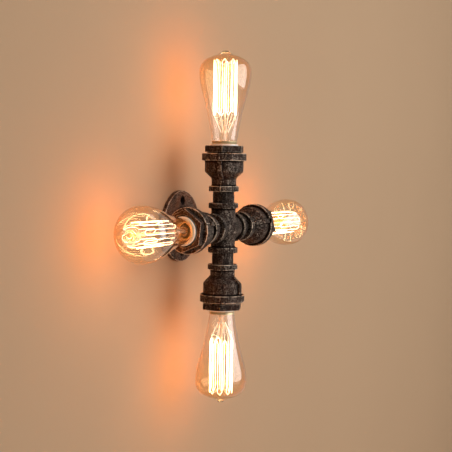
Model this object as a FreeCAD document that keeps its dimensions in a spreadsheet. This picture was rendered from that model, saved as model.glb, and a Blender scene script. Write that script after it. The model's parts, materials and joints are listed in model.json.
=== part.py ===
import FreeCAD, Part
import Sketcher
import math
import os

# Four-bulb pipe wall lamp. Millimetres, +Z up, wall on the plane y = 0.
# The lamp stands out from the wall along -Y. Every arm piece is drawn along its own
# local Z axis, measured outward from the centre of the five-way cross.

V = FreeCAD.Vector
doc = FreeCAD.newDocument("pipe_wall_lamp")
sheet = doc.addObject("Spreadsheet::Sheet", "sheet")

SIZES = [
    # pipework
    ("wall_offset", 63.0),
    ("pipe_od", 26.4),
    ("pipe_bore", 20.4),
    ("nipple_gap", 14.0),
    ("nipple_grip", 13.0),
    ("ease", 1.0),
    ("cross_reach", 30.5),
    ("cross_od", 30.0),
    ("cross_core", 36.0),
    ("cross_cavity", 25.0),
    ("cross_seat", 16.0),
    ("bead_od", 36.4),
    ("bead_len", 6.6),
    # reducer and bushing
    ("neck_od", 30.2),
    ("neck_len", 16.0),
    ("neck_bore", 22.2),
    ("bell_od", 47.2),
    ("cone_len", 8.0),
    ("bell_len", 13.5),
    ("band_od", 54.4),
    ("band_len", 9.0),
    ("rib_width", 5.0),
    ("rib_height", 2.4),
    ("shank_od", 41.9),
    ("shank_len", 12.3),
    ("thread_gap", 1.3),
    ("hex_flats", 44.5),
    ("hex_len", 8.0),
    ("bush_bore", 37.6),
    # lampholder
    ("holder_od", 34.2),
    ("holder_clear", 0.25),
    ("holder_rim", 2.0),
    ("holder_shoulder", 7.0),
    ("base_od", 29.0),
    ("base_depth", 7.0),
    ("floor_drop", 2.0),
    ("shell_step", 2.5),
    ("shell_wall", 0.5),
    ("shell_lip", 3.4),
    ("cap_clear", 0.35),
    ("pip_od", 6.4),
    ("pip_height", 2.7),
    # bulb
    ("cap_od", 26.3),
    ("cap_len", 27.6),
    ("cap_wall", 0.45),
    ("cap_foot", 4.2),
    ("cap_fold", 1.6),
    ("contact_od", 9.6),
    ("contact_rise", 0.8),
    ("glass_wall", 0.9),
    ("glass_grip", 11.5),
    ("bulb_len", 142.5),
    ("bulb_od", 64.0),
    ("shoulder_od", 31.2),
    ("shoulder_at", 7.0),
    ("shoulder_curve", 10.0),
    ("waist_od", 54.6),
    ("waist_at", 49.7),
    ("waist_curve", 400.0),
    ("belly_at", 21.5),
    ("belly_curve", 88.0),
    ("dome_side", 17.5),
    ("tip_od", 8.4),
    ("tip_len", 4.0),
    ("nib_od", 4.6),
    ("exhaust_od", 4.0),
    ("exhaust_len", 5.0),
    ("flare_len", 10.0),
    ("press_od", 9.0),
    ("press_gap", 20.0),
    ("press_taper", 5.0),
    ("rod_od", 2.4),
    ("button_od", 4.4),
    ("button_len", 4.0),
    ("button_gap", 5.0),
    ("cage_at", 7.1),
    ("cage_radius", 14.5),
    ("cage_len", 67.5),
    ("filament_od", 0.6),
    ("wire_od", 0.5),
    ("hook_clear", 0.2),
    # flange and wiring
    ("flange_od", 89.0),
    ("flange_edge", 5.2),
    ("flange_height", 20.0),
    ("flange_fillet", 3.6),
    ("hole_circle", 64.0),
    ("hole_od", 6.0),
    ("sink_od", 11.5),
    ("block_size", 13.0),
    ("lead_od", 2.4),
    ("lead_offset", 5.0),
    ("lead_end", 1.0),
    ("screw_head", 5.0),
    ("screw_od", 3.0),
    ("head_height", 2.0),
]

# Turn of each threaded piece about its arm, in degrees, as far as it was screwed in.
REDUCER_TURN = {"top": 15.0, "bottom": 60.0, "left": 20.0, "right": 60.0}
BUSHING_TURN = {"top": -9.0, "bottom": 8.0, "left": -6.0, "right": 0.0}

# Upright runs of one filament.
RUNS = 16

for row, (alias, number) in enumerate(SIZES, start=1):
    sheet.set("A%d" % row, alias)
    sheet.set("B%d" % row, "%g" % number)
    sheet.setAlias("B%d" % row, alias)
doc.recompute()


def ref(text):
    """Expression text with each <alias> written as a cell of the sheet."""
    return text.replace("<", "sheet.").replace(">", "")


def value(text):
    """Number that an expression over the sheet gives now."""
    result = sheet.evalExpression(ref(text))
    return float(getattr(result, "Value", result))


# Stations along an arm, outward from the cross centre.
REDUCER = "(<cross_reach>+<nipple_gap>)"
NECK_END = "(%s+<neck_len>)" % REDUCER
BELL = "(%s+<cone_len>)" % NECK_END
BAND = "(%s+<bell_len>)" % BELL
MOUTH = "(%s+<band_len>)" % BAND
HEX = "(%s+<thread_gap>)" % MOUTH
RIM = "(%s+<hex_len>+<holder_rim>)" % HEX
CLAMP = "(%s-<shank_len>)" % HEX
LEDGE = "(%s-<holder_shoulder>)" % CLAMP
BASE = "(%s-<base_depth>)" % LEDGE
FLOOR = "(%s-<floor_drop>)" % LEDGE
SHELL = "(%s+<shell_step>)" % LEDGE
CAP_END = "(%s+<pip_height>)" % FLOOR
TIP = "(%s+<bulb_len>)" % CAP_END
CAP_RIM = "(%s+<cap_len>)" % CAP_END
DOME = "(%s-<tip_len>)" % TIP
FLARE = "(%s-<glass_grip>)" % CAP_RIM
CAGE_END = "(%s-<cage_at>)" % DOME
CAGE = "(%s-<cage_len>)" % CAGE_END
PRESS = "(%s-<press_gap>)" % CAGE
BUTTON = "(%s-<button_gap>)" % CAGE_END

# Radii that two pieces share.
PIPE = "<pipe_od>/2"
BARREL = "(<holder_od>/2)"
SHELL_IN = "(<cap_od>/2+<cap_clear>)"
SHELL_OUT = "(%s+<shell_wall>)" % SHELL_IN
NECK = "(<cap_od>/2-<cap_wall>)"
FOLD = "(%s-2*<cap_wall>)" % NECK

# Local axes of each arm in the lamp's frame.
FRAMES = {
    "top": (V(1, 0, 0), V(0, 1, 0), V(0, 0, 1)),
    "bottom": (V(1, 0, 0), V(0, -1, 0), V(0, 0, -1)),
    "left": (V(0, -1, 0), V(0, 0, 1), V(-1, 0, 0)),
    "right": (V(0, -0.258819, 0.965926), V(0, -0.965926, -0.258819), V(1, 0, 0)),
    "rear": (V(1, 0, 0), V(0, 0, -1), V(0, 1, 0)),
}
ARMS = ["top", "bottom", "left", "right"]


def arm_rotation(arm, turn=0.0):
    """Rotation from local axes to an arm's axes, after a turn about the arm."""
    x_axis, y_axis, z_axis = FRAMES[arm]
    rotation = FreeCAD.Rotation(x_axis, y_axis, z_axis, "ZXY")
    return rotation.multiply(FreeCAD.Rotation(V(0, 0, 1), turn))


def seat(obj, arm, turn=0.0):
    """Put an object on an arm, with the cross centre held off the wall by the sheet."""
    obj.Placement = FreeCAD.Placement(V(0, -value("<wall_offset>"), 0), arm_rotation(arm, turn))
    obj.setExpression("Placement.Base.y", ref("-<wall_offset>"))


def datum(body, role):
    """Origin plane or axis of a body, found by its role."""
    for feature in body.Origin.OriginFeatures:
        if feature.Role == role:
            return feature
    raise RuntimeError("no datum " + role)


def new_sketch(body, role, name):
    """Empty sketch on one of the body's own origin planes."""
    sketch = body.newObject("Sketcher::SketchObject", name)
    sketch.AttachmentSupport = (datum(body, role), [""])
    sketch.MapMode = "FlatFace"
    sketch.Visibility = False
    return sketch


def bind(sketch, constraint, text):
    """Add a dimension to a sketch and tie it to a sheet expression."""
    index = sketch.addConstraint(constraint)
    sketch.setExpression("Constraints[%d]" % index, ref(text))


def fix_point(sketch, geo, pos, across, along):
    """Hold one sketch point at two sheet expressions."""
    for kind, axis, text in (("DistanceX", -2, across), ("DistanceY", -1, along)):
        if text == "0":
            sketch.addConstraint(Sketcher.Constraint("PointOnObject", geo, pos, axis))
        else:
            bind(sketch, Sketcher.Constraint(kind, -1, 1, geo, pos, value(text)), text)


def add_arc(sketch, start, end, radius):
    """Arc between two points, bowed to the right of its run for a positive radius."""
    run = end - start
    side = V(run.y, -run.x, 0).normalize() * math.copysign(1.0, radius)
    sag = abs(radius) - math.sqrt(radius ** 2 - (run.Length / 2) ** 2)
    middle = (start + end) * 0.5 + side * sag
    if radius > 0:
        return sketch.addGeometry(Part.Arc(start, middle, end), False), 1, 2
    return sketch.addGeometry(Part.Arc(end, middle, start), False), 2, 1


def outline(sketch, points):
    """Closed outline whose corners follow sheet expressions.

    A point is (across, along), or (across, along, radius) where the run to the next
    point is an arc. A radius that starts with a minus sign bows to the left of the run.
    """
    spots = [V(value(p[0]), value(p[1]), 0) for p in points]
    runs = []
    for i, point in enumerate(points):
        after = spots[(i + 1) % len(spots)]
        if len(point) == 3:
            geo, first, last = add_arc(sketch, spots[i], after, value(point[2]))
            bind(sketch, Sketcher.Constraint("Radius", geo, abs(value(point[2]))), point[2].lstrip("-"))
            runs.append((geo, first, last))
        else:
            runs.append((sketch.addGeometry(Part.LineSegment(spots[i], after), False), 1, 2))
    for i, (geo, first, last) in enumerate(runs):
        before = runs[i - 1]
        sketch.addConstraint(Sketcher.Constraint("Coincident", before[0], before[2], geo, first))
        fix_point(sketch, geo, first, points[i][0], points[i][1])


def lathe(label, points):
    """Body turned about its Z axis from a profile of (radius, station) expressions."""
    body = doc.addObject("PartDesign::Body", label)
    body.Label = label
    sketch = new_sketch(body, "XZ_Plane", label + "_profile")
    outline(sketch, points)
    turned = body.newObject("PartDesign::Revolution", label + "_turned")
    turned.Profile = sketch
    turned.ReferenceAxis = (sketch, ["V_Axis"])
    turned.Angle = 360.0
    body.Tip = turned
    return body


def ring_pattern(body, features, name, count):
    """Copies of features spaced evenly about the body's Z axis."""
    pattern = body.newObject("PartDesign::PolarPattern", name)
    pattern.Originals = features
    pattern.Axis = (datum(body, "Z_Axis"), [""])
    pattern.Angle = 360.0
    pattern.Occurrences = count
    body.Tip = pattern


def nipple(label, start, end):
    """Pipe nipple with eased ends between two stations."""
    return lathe(label, [
        ("<pipe_bore>/2", start),
        (PIPE + "-<ease>", start),
        (PIPE, start + "+<ease>"),
        (PIPE, end + "-<ease>"),
        (PIPE + "-<ease>", end),
        ("<pipe_bore>/2", end),
    ])


def arm_nipple(label):
    """Nipple from the cross to a reducer."""
    return nipple(label, "(<cross_reach>-<nipple_grip>)", "(%s+<nipple_grip>)" % REDUCER)


def reducer(label):
    """Cast bell reducer: beaded neck, cone, bell, banded mouth and two ribs."""
    bead_end = "(%s+<bead_len>)" % REDUCER
    body = lathe(label, [
        (PIPE, REDUCER),
        ("<bead_od>/2-<ease>", REDUCER, "<ease>"),
        ("<bead_od>/2", REDUCER + "+<ease>"),
        ("<bead_od>/2", bead_end + "-<ease>", "<ease>"),
        ("<bead_od>/2-<ease>", bead_end),
        ("<neck_od>/2+<ease>", bead_end, "-<ease>"),
        ("<neck_od>/2", bead_end + "+<ease>"),
        ("<neck_od>/2", NECK_END),
        ("<bell_od>/2", BELL),
        ("<bell_od>/2", BAND + "-<ease>", "-<ease>"),
        ("<bell_od>/2+<ease>", BAND),
        ("<band_od>/2-<ease>", BAND, "<ease>"),
        ("<band_od>/2", BAND + "+<ease>"),
        ("<band_od>/2", MOUTH + "-<ease>", "<ease>"),
        ("<band_od>/2-<ease>", MOUTH),
        ("<shank_od>/2", MOUTH),
        ("<shank_od>/2", LEDGE),
        (BARREL + "-2*<holder_clear>", LEDGE),
        (BARREL + "-2*<holder_clear>", BELL + "-<ease>"),
        ("<neck_bore>/2", NECK_END + "+<ease>/2"),
        ("<neck_bore>/2", NECK_END + "-<ease>"),
        (PIPE, NECK_END + "-<ease>"),
    ])
    sketch = new_sketch(body, "XZ_Plane", label + "_rib_profile")
    outline(sketch, [
        ("<neck_od>/2-<ease>/2", NECK_END),
        ("<neck_od>/2+<rib_height>", NECK_END),
        ("<bell_od>/2+<rib_height>", BELL),
        ("<bell_od>/2+<rib_height>", BAND + "+<ease>/2"),
        ("<bell_od>/2-<ease>/2", BAND + "+<ease>/2"),
        ("<bell_od>/2-<ease>/2", BELL + "+<ease>/2"),
    ])
    rib = body.newObject("PartDesign::Pad", label + "_rib")
    rib.Profile = sketch
    rib.Midplane = True
    rib.setExpression("Length", ref("<rib_width>"))
    body.Tip = rib
    ring_pattern(body, [rib], label + "_ribs", 2)
    return body


def bushing(label):
    """Hex bushing: a threaded shank and a hexagon head with one through bore."""
    body = lathe(label, [
        ("<bush_bore>/2", CLAMP),
        ("<shank_od>/2-<ease>", CLAMP),
        ("<shank_od>/2", CLAMP + "+<ease>"),
        ("<shank_od>/2", HEX + "+<ease>"),
        ("<bush_bore>/2", HEX + "+<ease>"),
    ])
    sketch = new_sketch(body, "XY_Plane", label + "_hexagon")
    sketch.AttachmentOffset = FreeCAD.Placement(V(0, 0, value(HEX)), FreeCAD.Rotation())
    sketch.setExpression("AttachmentOffset.Base.z", ref(HEX))
    half = "<hex_flats>/2"
    corner = "<hex_flats>/2/cos(30 deg)"
    outline(sketch, [
        ("0", corner),
        ("-" + half, corner + "/2"),
        ("-" + half, "-" + corner + "/2"),
        ("0", "-" + corner),
        (half, "-" + corner + "/2"),
        (half, corner + "/2"),
    ])
    circle = Part.Circle(V(0, 0, 0), V(0, 0, 1), value("<bush_bore>/2"))
    ring = sketch.addGeometry(circle, False)
    sketch.addConstraint(Sketcher.Constraint("Coincident", ring, 3, -1, 1))
    bind(sketch, Sketcher.Constraint("Radius", ring, circle.Radius), "<bush_bore>/2")
    head = body.newObject("PartDesign::Pad", label + "_head")
    head.Profile = sketch
    head.setExpression("Length", ref("<hex_len>"))
    body.Tip = head
    return body


def holder(label):
    """Porcelain lampholder: clamped shoulder, barrel with a rim, floor with three holes."""
    body = lathe(label, [
        ("<screw_od>/2", BASE),
        ("<base_od>/2", BASE),
        ("<base_od>/2", LEDGE),
        ("<shank_od>/2-2*<holder_clear>", LEDGE),
        ("<shank_od>/2-2*<holder_clear>", CLAMP),
        (BARREL, CLAMP),
        (BARREL, RIM + "-<ease>", "<ease>"),
        (BARREL + "-<ease>", RIM),
        (SHELL_OUT + "+<ease>", RIM),
        (SHELL_OUT, RIM + "-<ease>"),
        (SHELL_OUT, SHELL),
        (SHELL_OUT + "-<shell_lip>", SHELL),
        (SHELL_OUT + "-<shell_lip>", FLOOR),
        ("<screw_od>/2", FLOOR),
    ])
    sketch = new_sketch(body, "XY_Plane", label + "_screw_holes")
    for i, spot in enumerate(("<lead_offset>", "-<lead_offset>")):
        circle = Part.Circle(V(value(spot), 0, 0), V(0, 0, 1), value("<screw_od>/2"))
        sketch.addGeometry(circle, False)
        fix_point(sketch, i, 3, spot, "0")
        bind(sketch, Sketcher.Constraint("Radius", i, circle.Radius), "<screw_od>/2")
    holes = body.newObject("PartDesign::Pocket", label + "_holes")
    holes.Profile = sketch
    holes.Type = "ThroughAll"
    holes.Midplane = True
    body.Tip = holes
    return body


def holder_shell(label):
    """Thin brass screw shell standing on the holder's inner step."""
    return lathe(label, [
        (SHELL_OUT + "-<shell_lip>", SHELL),
        (SHELL_OUT, SHELL),
        (SHELL_OUT, RIM + "-2*<ease>"),
        (SHELL_IN, RIM + "-2*<ease>"),
        (SHELL_IN, SHELL + "+<shell_wall>"),
        (SHELL_OUT + "-<shell_lip>", SHELL + "+<shell_wall>"),
    ])


def holder_contact(label):
    """Centre contact: a rivet through the floor with a raised disc under the lamp cap."""
    disc = "(<lead_offset>+<screw_od>/2)"
    return lathe(label, [
        ("0", BASE),
        ("<screw_od>/2", BASE),
        ("<screw_od>/2", FLOOR),
        (disc, FLOOR),
        (disc, FLOOR + "+<shell_wall>"),
        ("<pip_od>/2", FLOOR + "+<shell_wall>"),
        ("<pip_od>/2", CAP_END),
        ("0", CAP_END),
    ])


def bulb_contact(label):
    """Soldered end contact of the lamp cap."""
    half = "<contact_rise>/2"
    return lathe(label, [
        ("0", CAP_END),
        ("<contact_od>/2-" + half, CAP_END, half),
        ("<contact_od>/2", CAP_END + "+" + half),
        ("<contact_od>/2", CAP_END + "+<contact_rise>"),
        ("0", CAP_END + "+<contact_rise>"),
    ])


def bulb_insulator(label):
    """Black glass insulator between the end contact and the cap."""
    return lathe(label, [
        ("0", CAP_END + "+<contact_rise>"),
        ("<contact_od>/2", CAP_END + "+<contact_rise>"),
        (FOLD, CAP_END + "+<cap_foot>"),
        (FOLD, CAP_END + "+<cap_foot>+<cap_fold>"),
        ("0", CAP_END + "+<cap_foot>+<cap_fold>"),
    ])


def bulb_cap(label):
    """Screw cap drawn from sheet metal, closed on the insulator."""
    foot = "(%s+<cap_foot>)" % CAP_END
    return lathe(label, [
        (FOLD, foot),
        ("<cap_od>/2-<ease>", foot, "<ease>"),
        ("<cap_od>/2", foot + "+<ease>"),
        ("<cap_od>/2", CAP_RIM),
        (NECK, CAP_RIM),
        (NECK, foot + "+<cap_fold>"),
        (FOLD, foot + "+<cap_fold>"),
    ])


def envelope(inset):
    """Half profile of the glass from its neck to its dome, set in by a wall.

    Shoulder, taper and belly are arcs. The shoulder is placed from the cap, and the waist
    and belly from the dome, which is a side arc and a crown arc on a common tangent.
    """
    belly = "(<bulb_od>/2-%s)" % inset
    side = "(<dome_side>-%s)" % inset
    belly_at = "(%s-<belly_at>)" % DOME
    rise = "(<belly_at>-%s)" % inset
    crown = "((({b}-{s})^2+{r}^2-{s}^2)/(2*({r}-{s})))".format(b=belly, s=side, r=rise)
    share = "({c}/({c}-{s}))".format(c=crown, s=side)
    return [
        ("(%s-%s)" % (NECK, inset), FLARE),
        ("(%s-%s)" % (NECK, inset), CAP_RIM, "<shoulder_curve>"),
        ("<shoulder_od>/2-" + inset, CAP_RIM + "+<shoulder_at>", "-<waist_curve>"),
        ("<waist_od>/2-" + inset, DOME + "-<waist_at>", "<belly_curve>"),
        (belly, belly_at, side),
        ("({b}-{s})*{k}".format(b=belly, s=side, k=share),
         "{a}+{r}-{c}+({c}-{r})*{k}".format(a=belly_at, r=rise, c=crown, k=share), crown),
    ]


def bulb_glass(label):
    """Blown envelope: neck in the cap, long taper, widest near the end, sealed tip."""
    outside = envelope("0")
    inside = envelope("<glass_wall>")
    back = [("0", DOME + "-<glass_wall>", "-" + inside[-1][2])]
    for i in range(len(inside) - 1, 0, -1):
        bend = inside[i - 1][2:]
        turned = tuple(b[1:] if b.startswith("-") else "-" + b for b in bend)
        back.append(inside[i][:2] + turned)
    back.append(inside[0])
    tip = [
        ("<tip_od>/2", DOME),
        ("<nib_od>/2", TIP + "-<ease>"),
        ("0", TIP),
    ]
    return lathe(label, outside + tip + back)


def bulb_stem(label):
    """Glass mount: exhaust tube, flare sealed to the neck, press, rod and top button."""
    return lathe(label, [
        ("0", FLARE + "-<exhaust_len>"),
        ("<exhaust_od>/2", FLARE + "-<exhaust_len>"),
        ("<exhaust_od>/2", FLARE + "-<ease>"),
        (NECK, FLARE + "-<ease>"),
        (NECK, FLARE),
        (NECK + "-<glass_wall>-<ease>", FLARE),
        ("<press_od>/2", FLARE + "+<flare_len>"),
        ("<press_od>/2", PRESS),
        ("<rod_od>/2", PRESS + "+<press_taper>"),
        ("<rod_od>/2", BUTTON + "-<button_len>-<ease>"),
        ("<button_od>/2", BUTTON + "-<button_len>"),
        ("<button_od>/2", BUTTON),
        ("0", BUTTON + "+<ease>"),
    ])


def cage_spots():
    """Unit directions of the filament's upright runs round the cage."""
    angles = [2 * math.pi * (i + 0.5) / RUNS for i in range(RUNS)]
    return [V(math.cos(a), math.sin(a), 0) for a in angles]


def bulb_filament(label):
    """One unbroken wire that runs up and down round a cage, with a round bend at each turn."""
    radius = value("<cage_radius>")
    spots = [d * radius for d in cage_spots()]
    bend = (spots[1] - spots[0]).Length / 2
    low = V(0, 0, value(CAGE) + bend)
    high = V(0, 0, value(CAGE_END) - bend)
    edges = []
    for i, spot in enumerate(spots):
        start, end = (low, high) if i % 2 == 0 else (high, low)
        edges.append(Part.makeLine(spot + start, spot + end))
        if i + 1 < RUNS:
            lift = V(0, 0, bend if i % 2 == 0 else -bend)
            crown = (spot + spots[i + 1]) * 0.5 + end + lift
            edges.append(Part.Arc(spot + end, crown, spots[i + 1] + end).toShape())
    section = Part.Circle(spots[0] + low, V(0, 0, 1), value("<filament_od>/2")).toShape()
    wire = doc.addObject("Part::Feature", label)
    wire.Label = label
    wire.Shape = Part.Wire(edges).makePipeShell([Part.Wire([section])], True, False)
    return wire


def bulb_supports(label):
    """Hooks from the stem to each bend and a lead-in to each end of the filament."""
    directions = cage_spots()
    radius = value("<cage_radius>")
    touch = value("<filament_od>/2")
    foot_low = value("<press_od>/2+<hook_clear>")
    foot_high = value("<button_od>/2+<hook_clear>")
    low = V(0, 0, value(PRESS + "-<ease>"))
    high = V(0, 0, value(BUTTON + "-<ease>"))
    hooks = []
    for i in range(RUNS - 1):
        middle = (directions[i] + directions[i + 1]).normalize()
        reach = middle * radius * math.cos(math.pi / RUNS)
        if i % 2 == 0:
            hooks.append((middle * foot_high + high, reach + V(0, 0, value(CAGE_END))))
        else:
            hooks.append((middle * foot_low + low, reach + V(0, 0, value(CAGE))))
    ends = V(0, 0, value(CAGE) + radius * math.sin(math.pi / RUNS))
    for direction in (directions[0], directions[-1]):
        hooks.append((direction * foot_low + low, direction * radius + ends))
    solids = []
    for foot, target in hooks:
        run = target - foot
        solids.append(Part.makeCylinder(value("<wire_od>/2"), run.Length - touch, foot, run))
    hook_set = doc.addObject("Part::Feature", label)
    hook_set.Label = label
    hook_set.Shape = Part.makeCompound(solids)
    return hook_set


def rod(label, radius, start, end, arm, offset="0"):
    """Straight round rod between two stations of an arm, beside its axis."""
    item = doc.addObject("Part::Cylinder", label)
    item.setExpression("Radius", ref(radius))
    item.setExpression("Height", ref("%s-(%s)" % (end, start)))
    rotation = arm_rotation(arm)
    side = rotation.multVec(V(1, 0, 0))
    out = rotation.multVec(V(0, 0, 1))
    item.Placement = FreeCAD.Placement(V(0, 0, 0), rotation)
    for axis, shift in (("x", "0"), ("y", "<wall_offset>"), ("z", "0")):
        text = "(%s)*%.6f+(%s)*%.6f-%s" % (offset, getattr(side, axis), start, getattr(out, axis), shift)
        item.setExpression("Placement.Base." + axis, ref(text))
    item.Visibility = False
    return item


def bundle(label, items):
    """Several like solids under one name."""
    compound = doc.addObject("Part::Compound", label)
    compound.Label = label
    compound.Links = items
    return compound


def five_way_cross(label):
    """Cast cross: five beaded outlets on a round core, bored through to one cavity."""
    outside = []
    inside = []
    for arm in ARMS + ["rear"]:
        outside.append(rod("cross_arm_" + arm, "<cross_od>/2", "0", "<cross_reach>-<ease>", arm))
        outside.append(rod("cross_bead_" + arm, "<bead_od>/2", "<cross_reach>-<bead_len>",
                           "<cross_reach>", arm))
        inside.append(rod("cross_bore_" + arm, "<pipe_bore>/2", "0", "<cross_reach>", arm))
        inside.append(rod("cross_thread_" + arm, PIPE, "<cross_seat>", "<cross_reach>+<ease>", arm))
    for name, alias, where in (("core", "<cross_core>", outside), ("cavity", "<cross_cavity>", inside)):
        ball = doc.addObject("Part::Sphere", "cross_" + name)
        ball.setExpression("Radius", ref(alias + "/2"))
        ball.setExpression("Placement.Base.y", ref("-<wall_offset>"))
        where.append(ball)
    skin = doc.addObject("Part::MultiFuse", "cross_skin")
    skin.Shapes = outside
    hollow = doc.addObject("Part::MultiFuse", "cross_hollow")
    hollow.Shapes = inside
    cross = doc.addObject("Part::Cut", label)
    cross.Label = label
    cross.Base = skin
    cross.Tool = hollow
    return cross


def wall_flange(label):
    """Floor flange: round plate rising to a threaded hub, with four countersunk holes."""
    body = lathe(label, [
        (PIPE, "0"),
        ("<flange_od>/2", "0"),
        ("<flange_od>/2", "<flange_edge>-<ease>", "<ease>"),
        ("<flange_od>/2-<ease>", "<flange_edge>"),
        ("<bead_od>/2+<flange_fillet>", "<flange_edge>", "-<flange_fillet>"),
        ("<bead_od>/2", "<flange_edge>+<flange_fillet>"),
        ("<bead_od>/2", "<flange_height>-<ease>", "<ease>"),
        ("<bead_od>/2-<ease>", "<flange_height>"),
        (PIPE, "<flange_height>"),
    ])
    depth = "((<sink_od>-<hole_od>)/2)"
    drill = body.newObject("PartDesign::SubtractiveCylinder", label + "_drill")
    drill.setExpression("Radius", ref("<hole_od>/2"))
    drill.setExpression("Height", ref("<flange_edge>+2*<ease>"))
    sink = body.newObject("PartDesign::SubtractiveCone", label + "_sink")
    sink.setExpression("Radius1", ref("<hole_od>/2"))
    sink.setExpression("Radius2", ref("<sink_od>/2+<ease>"))
    sink.setExpression("Height", ref(depth + "+<ease>"))
    for cut, start in ((drill, "-<ease>"), (sink, "<flange_edge>-" + depth)):
        cut.AttachmentSupport = (datum(body, "XY_Plane"), [""])
        cut.MapMode = "FlatFace"
        cut.setExpression("AttachmentOffset.Base.x", ref("<hole_circle>/2"))
        cut.setExpression("AttachmentOffset.Base.z", ref(start))
    ring_pattern(body, [drill, sink], label + "_holes", 4)
    body.Placement = FreeCAD.Placement(V(0, 0, 0), FreeCAD.Rotation(V(1, 0, 0), 90))
    return body


def stem_nipple(label):
    """Nipple from the back of the cross into the flange hub."""
    stem = nipple(label, "(<cross_reach>-<nipple_grip>)",
                  "(<wall_offset>-<flange_height>+<nipple_grip>)")
    seat(stem, "rear")
    return stem


def junction_block(label):
    """Ceramic block at the middle of the cross where the leads meet."""
    block = doc.addObject("Part::Box", label)
    block.Label = label
    for side in ("Length", "Width", "Height"):
        block.setExpression(side, ref("<block_size>"))
    block.setExpression("Placement.Base.x", ref("-<block_size>/2"))
    block.setExpression("Placement.Base.y", ref("-<wall_offset>-<block_size>/2"))
    block.setExpression("Placement.Base.z", ref("-<block_size>/2"))
    return block


def leads(label, offset):
    """One lead for each arm and one to the wall, between the block and the terminals."""
    terminal = BASE + "-<head_height>"
    items = [rod(label + "_" + arm, "<lead_od>/2", "<block_size>/2", terminal, arm, offset)
             for arm in ARMS]
    items.append(rod(label + "_supply", "<lead_od>/2", "<block_size>/2",
                     "<wall_offset>-<lead_end>", "rear", offset))
    return bundle(label, items)


def terminal_screws(label):
    """Two screws under each holder, heads toward the leads."""
    items = []
    for arm in ARMS:
        for side, offset in (("live", "<lead_offset>"), ("neutral", "-<lead_offset>")):
            name = "%s_%s_%s" % (label, arm, side)
            head = rod(name + "_head", "<screw_head>/2", BASE + "-<head_height>", BASE, arm, offset)
            shank = rod(name + "_shank", "<screw_od>/2", BASE, FLOOR, arm, offset)
            screw = doc.addObject("Part::MultiFuse", name)
            screw.Shapes = [head, shank]
            items.append(screw)
    return bundle(label, items)


SHARED_PIECES = [wall_flange, stem_nipple, five_way_cross, junction_block, terminal_screws]
ARM_PIECES = [
    arm_nipple, reducer, bushing, holder, holder_shell, holder_contact, bulb_contact,
    bulb_insulator, bulb_cap, bulb_glass, bulb_stem, bulb_filament, bulb_supports,
]
TURNS = {reducer: REDUCER_TURN, bushing: BUSHING_TURN}

nodes = [make(make.__name__) for make in SHARED_PIECES]
nodes.append(leads("live_leads", "<lead_offset>"))
nodes.append(leads("neutral_leads", "-<lead_offset>"))
for arm in ARMS:
    for make in ARM_PIECES:
        piece = make("%s_%s" % (arm, make.__name__.replace("arm_", "")))
        turn = TURNS[make][arm] if make in TURNS else 0.0
        seat(piece, arm, turn)
        nodes.append(piece)

doc.recompute()

for item in doc.Objects:
    if "Invalid" in item.State or "Error" in item.State:
        raise RuntimeError("object in error: " + item.Label)

for node in nodes:
    if node.Shape.isNull() or not node.Shape.isValid():
        raise RuntimeError("bad shape: " + node.Label)

os.makedirs("parts", exist_ok=True)
for node in nodes:
    node.Shape.exportStep("parts/%s.step" % node.Label)
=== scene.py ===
import json
import math

import bmesh
import bpy
import numpy as np
from bpy.props import FloatProperty, FloatVectorProperty, IntProperty, PointerProperty
from mathutils import Matrix, Vector, noise

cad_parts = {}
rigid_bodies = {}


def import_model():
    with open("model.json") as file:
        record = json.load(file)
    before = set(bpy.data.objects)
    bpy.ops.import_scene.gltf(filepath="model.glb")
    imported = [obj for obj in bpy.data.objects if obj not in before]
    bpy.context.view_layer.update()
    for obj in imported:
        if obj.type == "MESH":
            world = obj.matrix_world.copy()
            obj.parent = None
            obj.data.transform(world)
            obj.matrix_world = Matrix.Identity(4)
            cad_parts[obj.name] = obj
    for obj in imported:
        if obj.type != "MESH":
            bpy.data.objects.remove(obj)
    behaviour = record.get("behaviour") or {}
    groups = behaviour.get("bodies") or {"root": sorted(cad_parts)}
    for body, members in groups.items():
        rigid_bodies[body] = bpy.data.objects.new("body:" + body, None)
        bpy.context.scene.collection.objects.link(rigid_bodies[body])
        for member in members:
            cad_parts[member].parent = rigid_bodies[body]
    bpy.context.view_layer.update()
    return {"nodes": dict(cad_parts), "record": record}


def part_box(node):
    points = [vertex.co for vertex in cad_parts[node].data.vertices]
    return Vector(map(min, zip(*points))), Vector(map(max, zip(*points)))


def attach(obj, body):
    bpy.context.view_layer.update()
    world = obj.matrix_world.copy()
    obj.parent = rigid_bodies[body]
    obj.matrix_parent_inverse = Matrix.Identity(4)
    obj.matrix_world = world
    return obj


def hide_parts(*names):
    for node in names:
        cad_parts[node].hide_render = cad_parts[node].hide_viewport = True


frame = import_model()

bl_info = {
    "name": "Pipe wall lamp",
    "version": (1, 0, 0),
    "blender": (4, 5, 0),
    "location": "View3D > Sidebar > Lamp",
    "description": "Dresses a pipe wall lamp: cast fittings, lampholders, filament bulbs and a studio stage",
    "category": "Object",
}

MM = 0.001
TURN = 2 * math.pi
ROOT = "pipework"
ARMS = ("top", "bottom", "left", "right")
NODE_SLOT = {row["node"]: row["material_slot"] for row in frame["record"]["subparts"]}

# Local axes of each arm: across, up the hexagon's corner, and outward.
ARM_AXES = {
    "top": ((1, 0, 0), (0, 1, 0), (0, 0, 1)),
    "bottom": ((1, 0, 0), (0, -1, 0), (0, 0, -1)),
    "left": ((0, -1, 0), (0, 0, 1), (-1, 0, 0)),
    "right": ((0, -0.258819, 0.965926), (0, -0.965926, -0.258819), (1, 0, 0)),
    "rear": ((1, 0, 0), (0, 0, -1), (0, 1, 0)),
}
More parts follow.
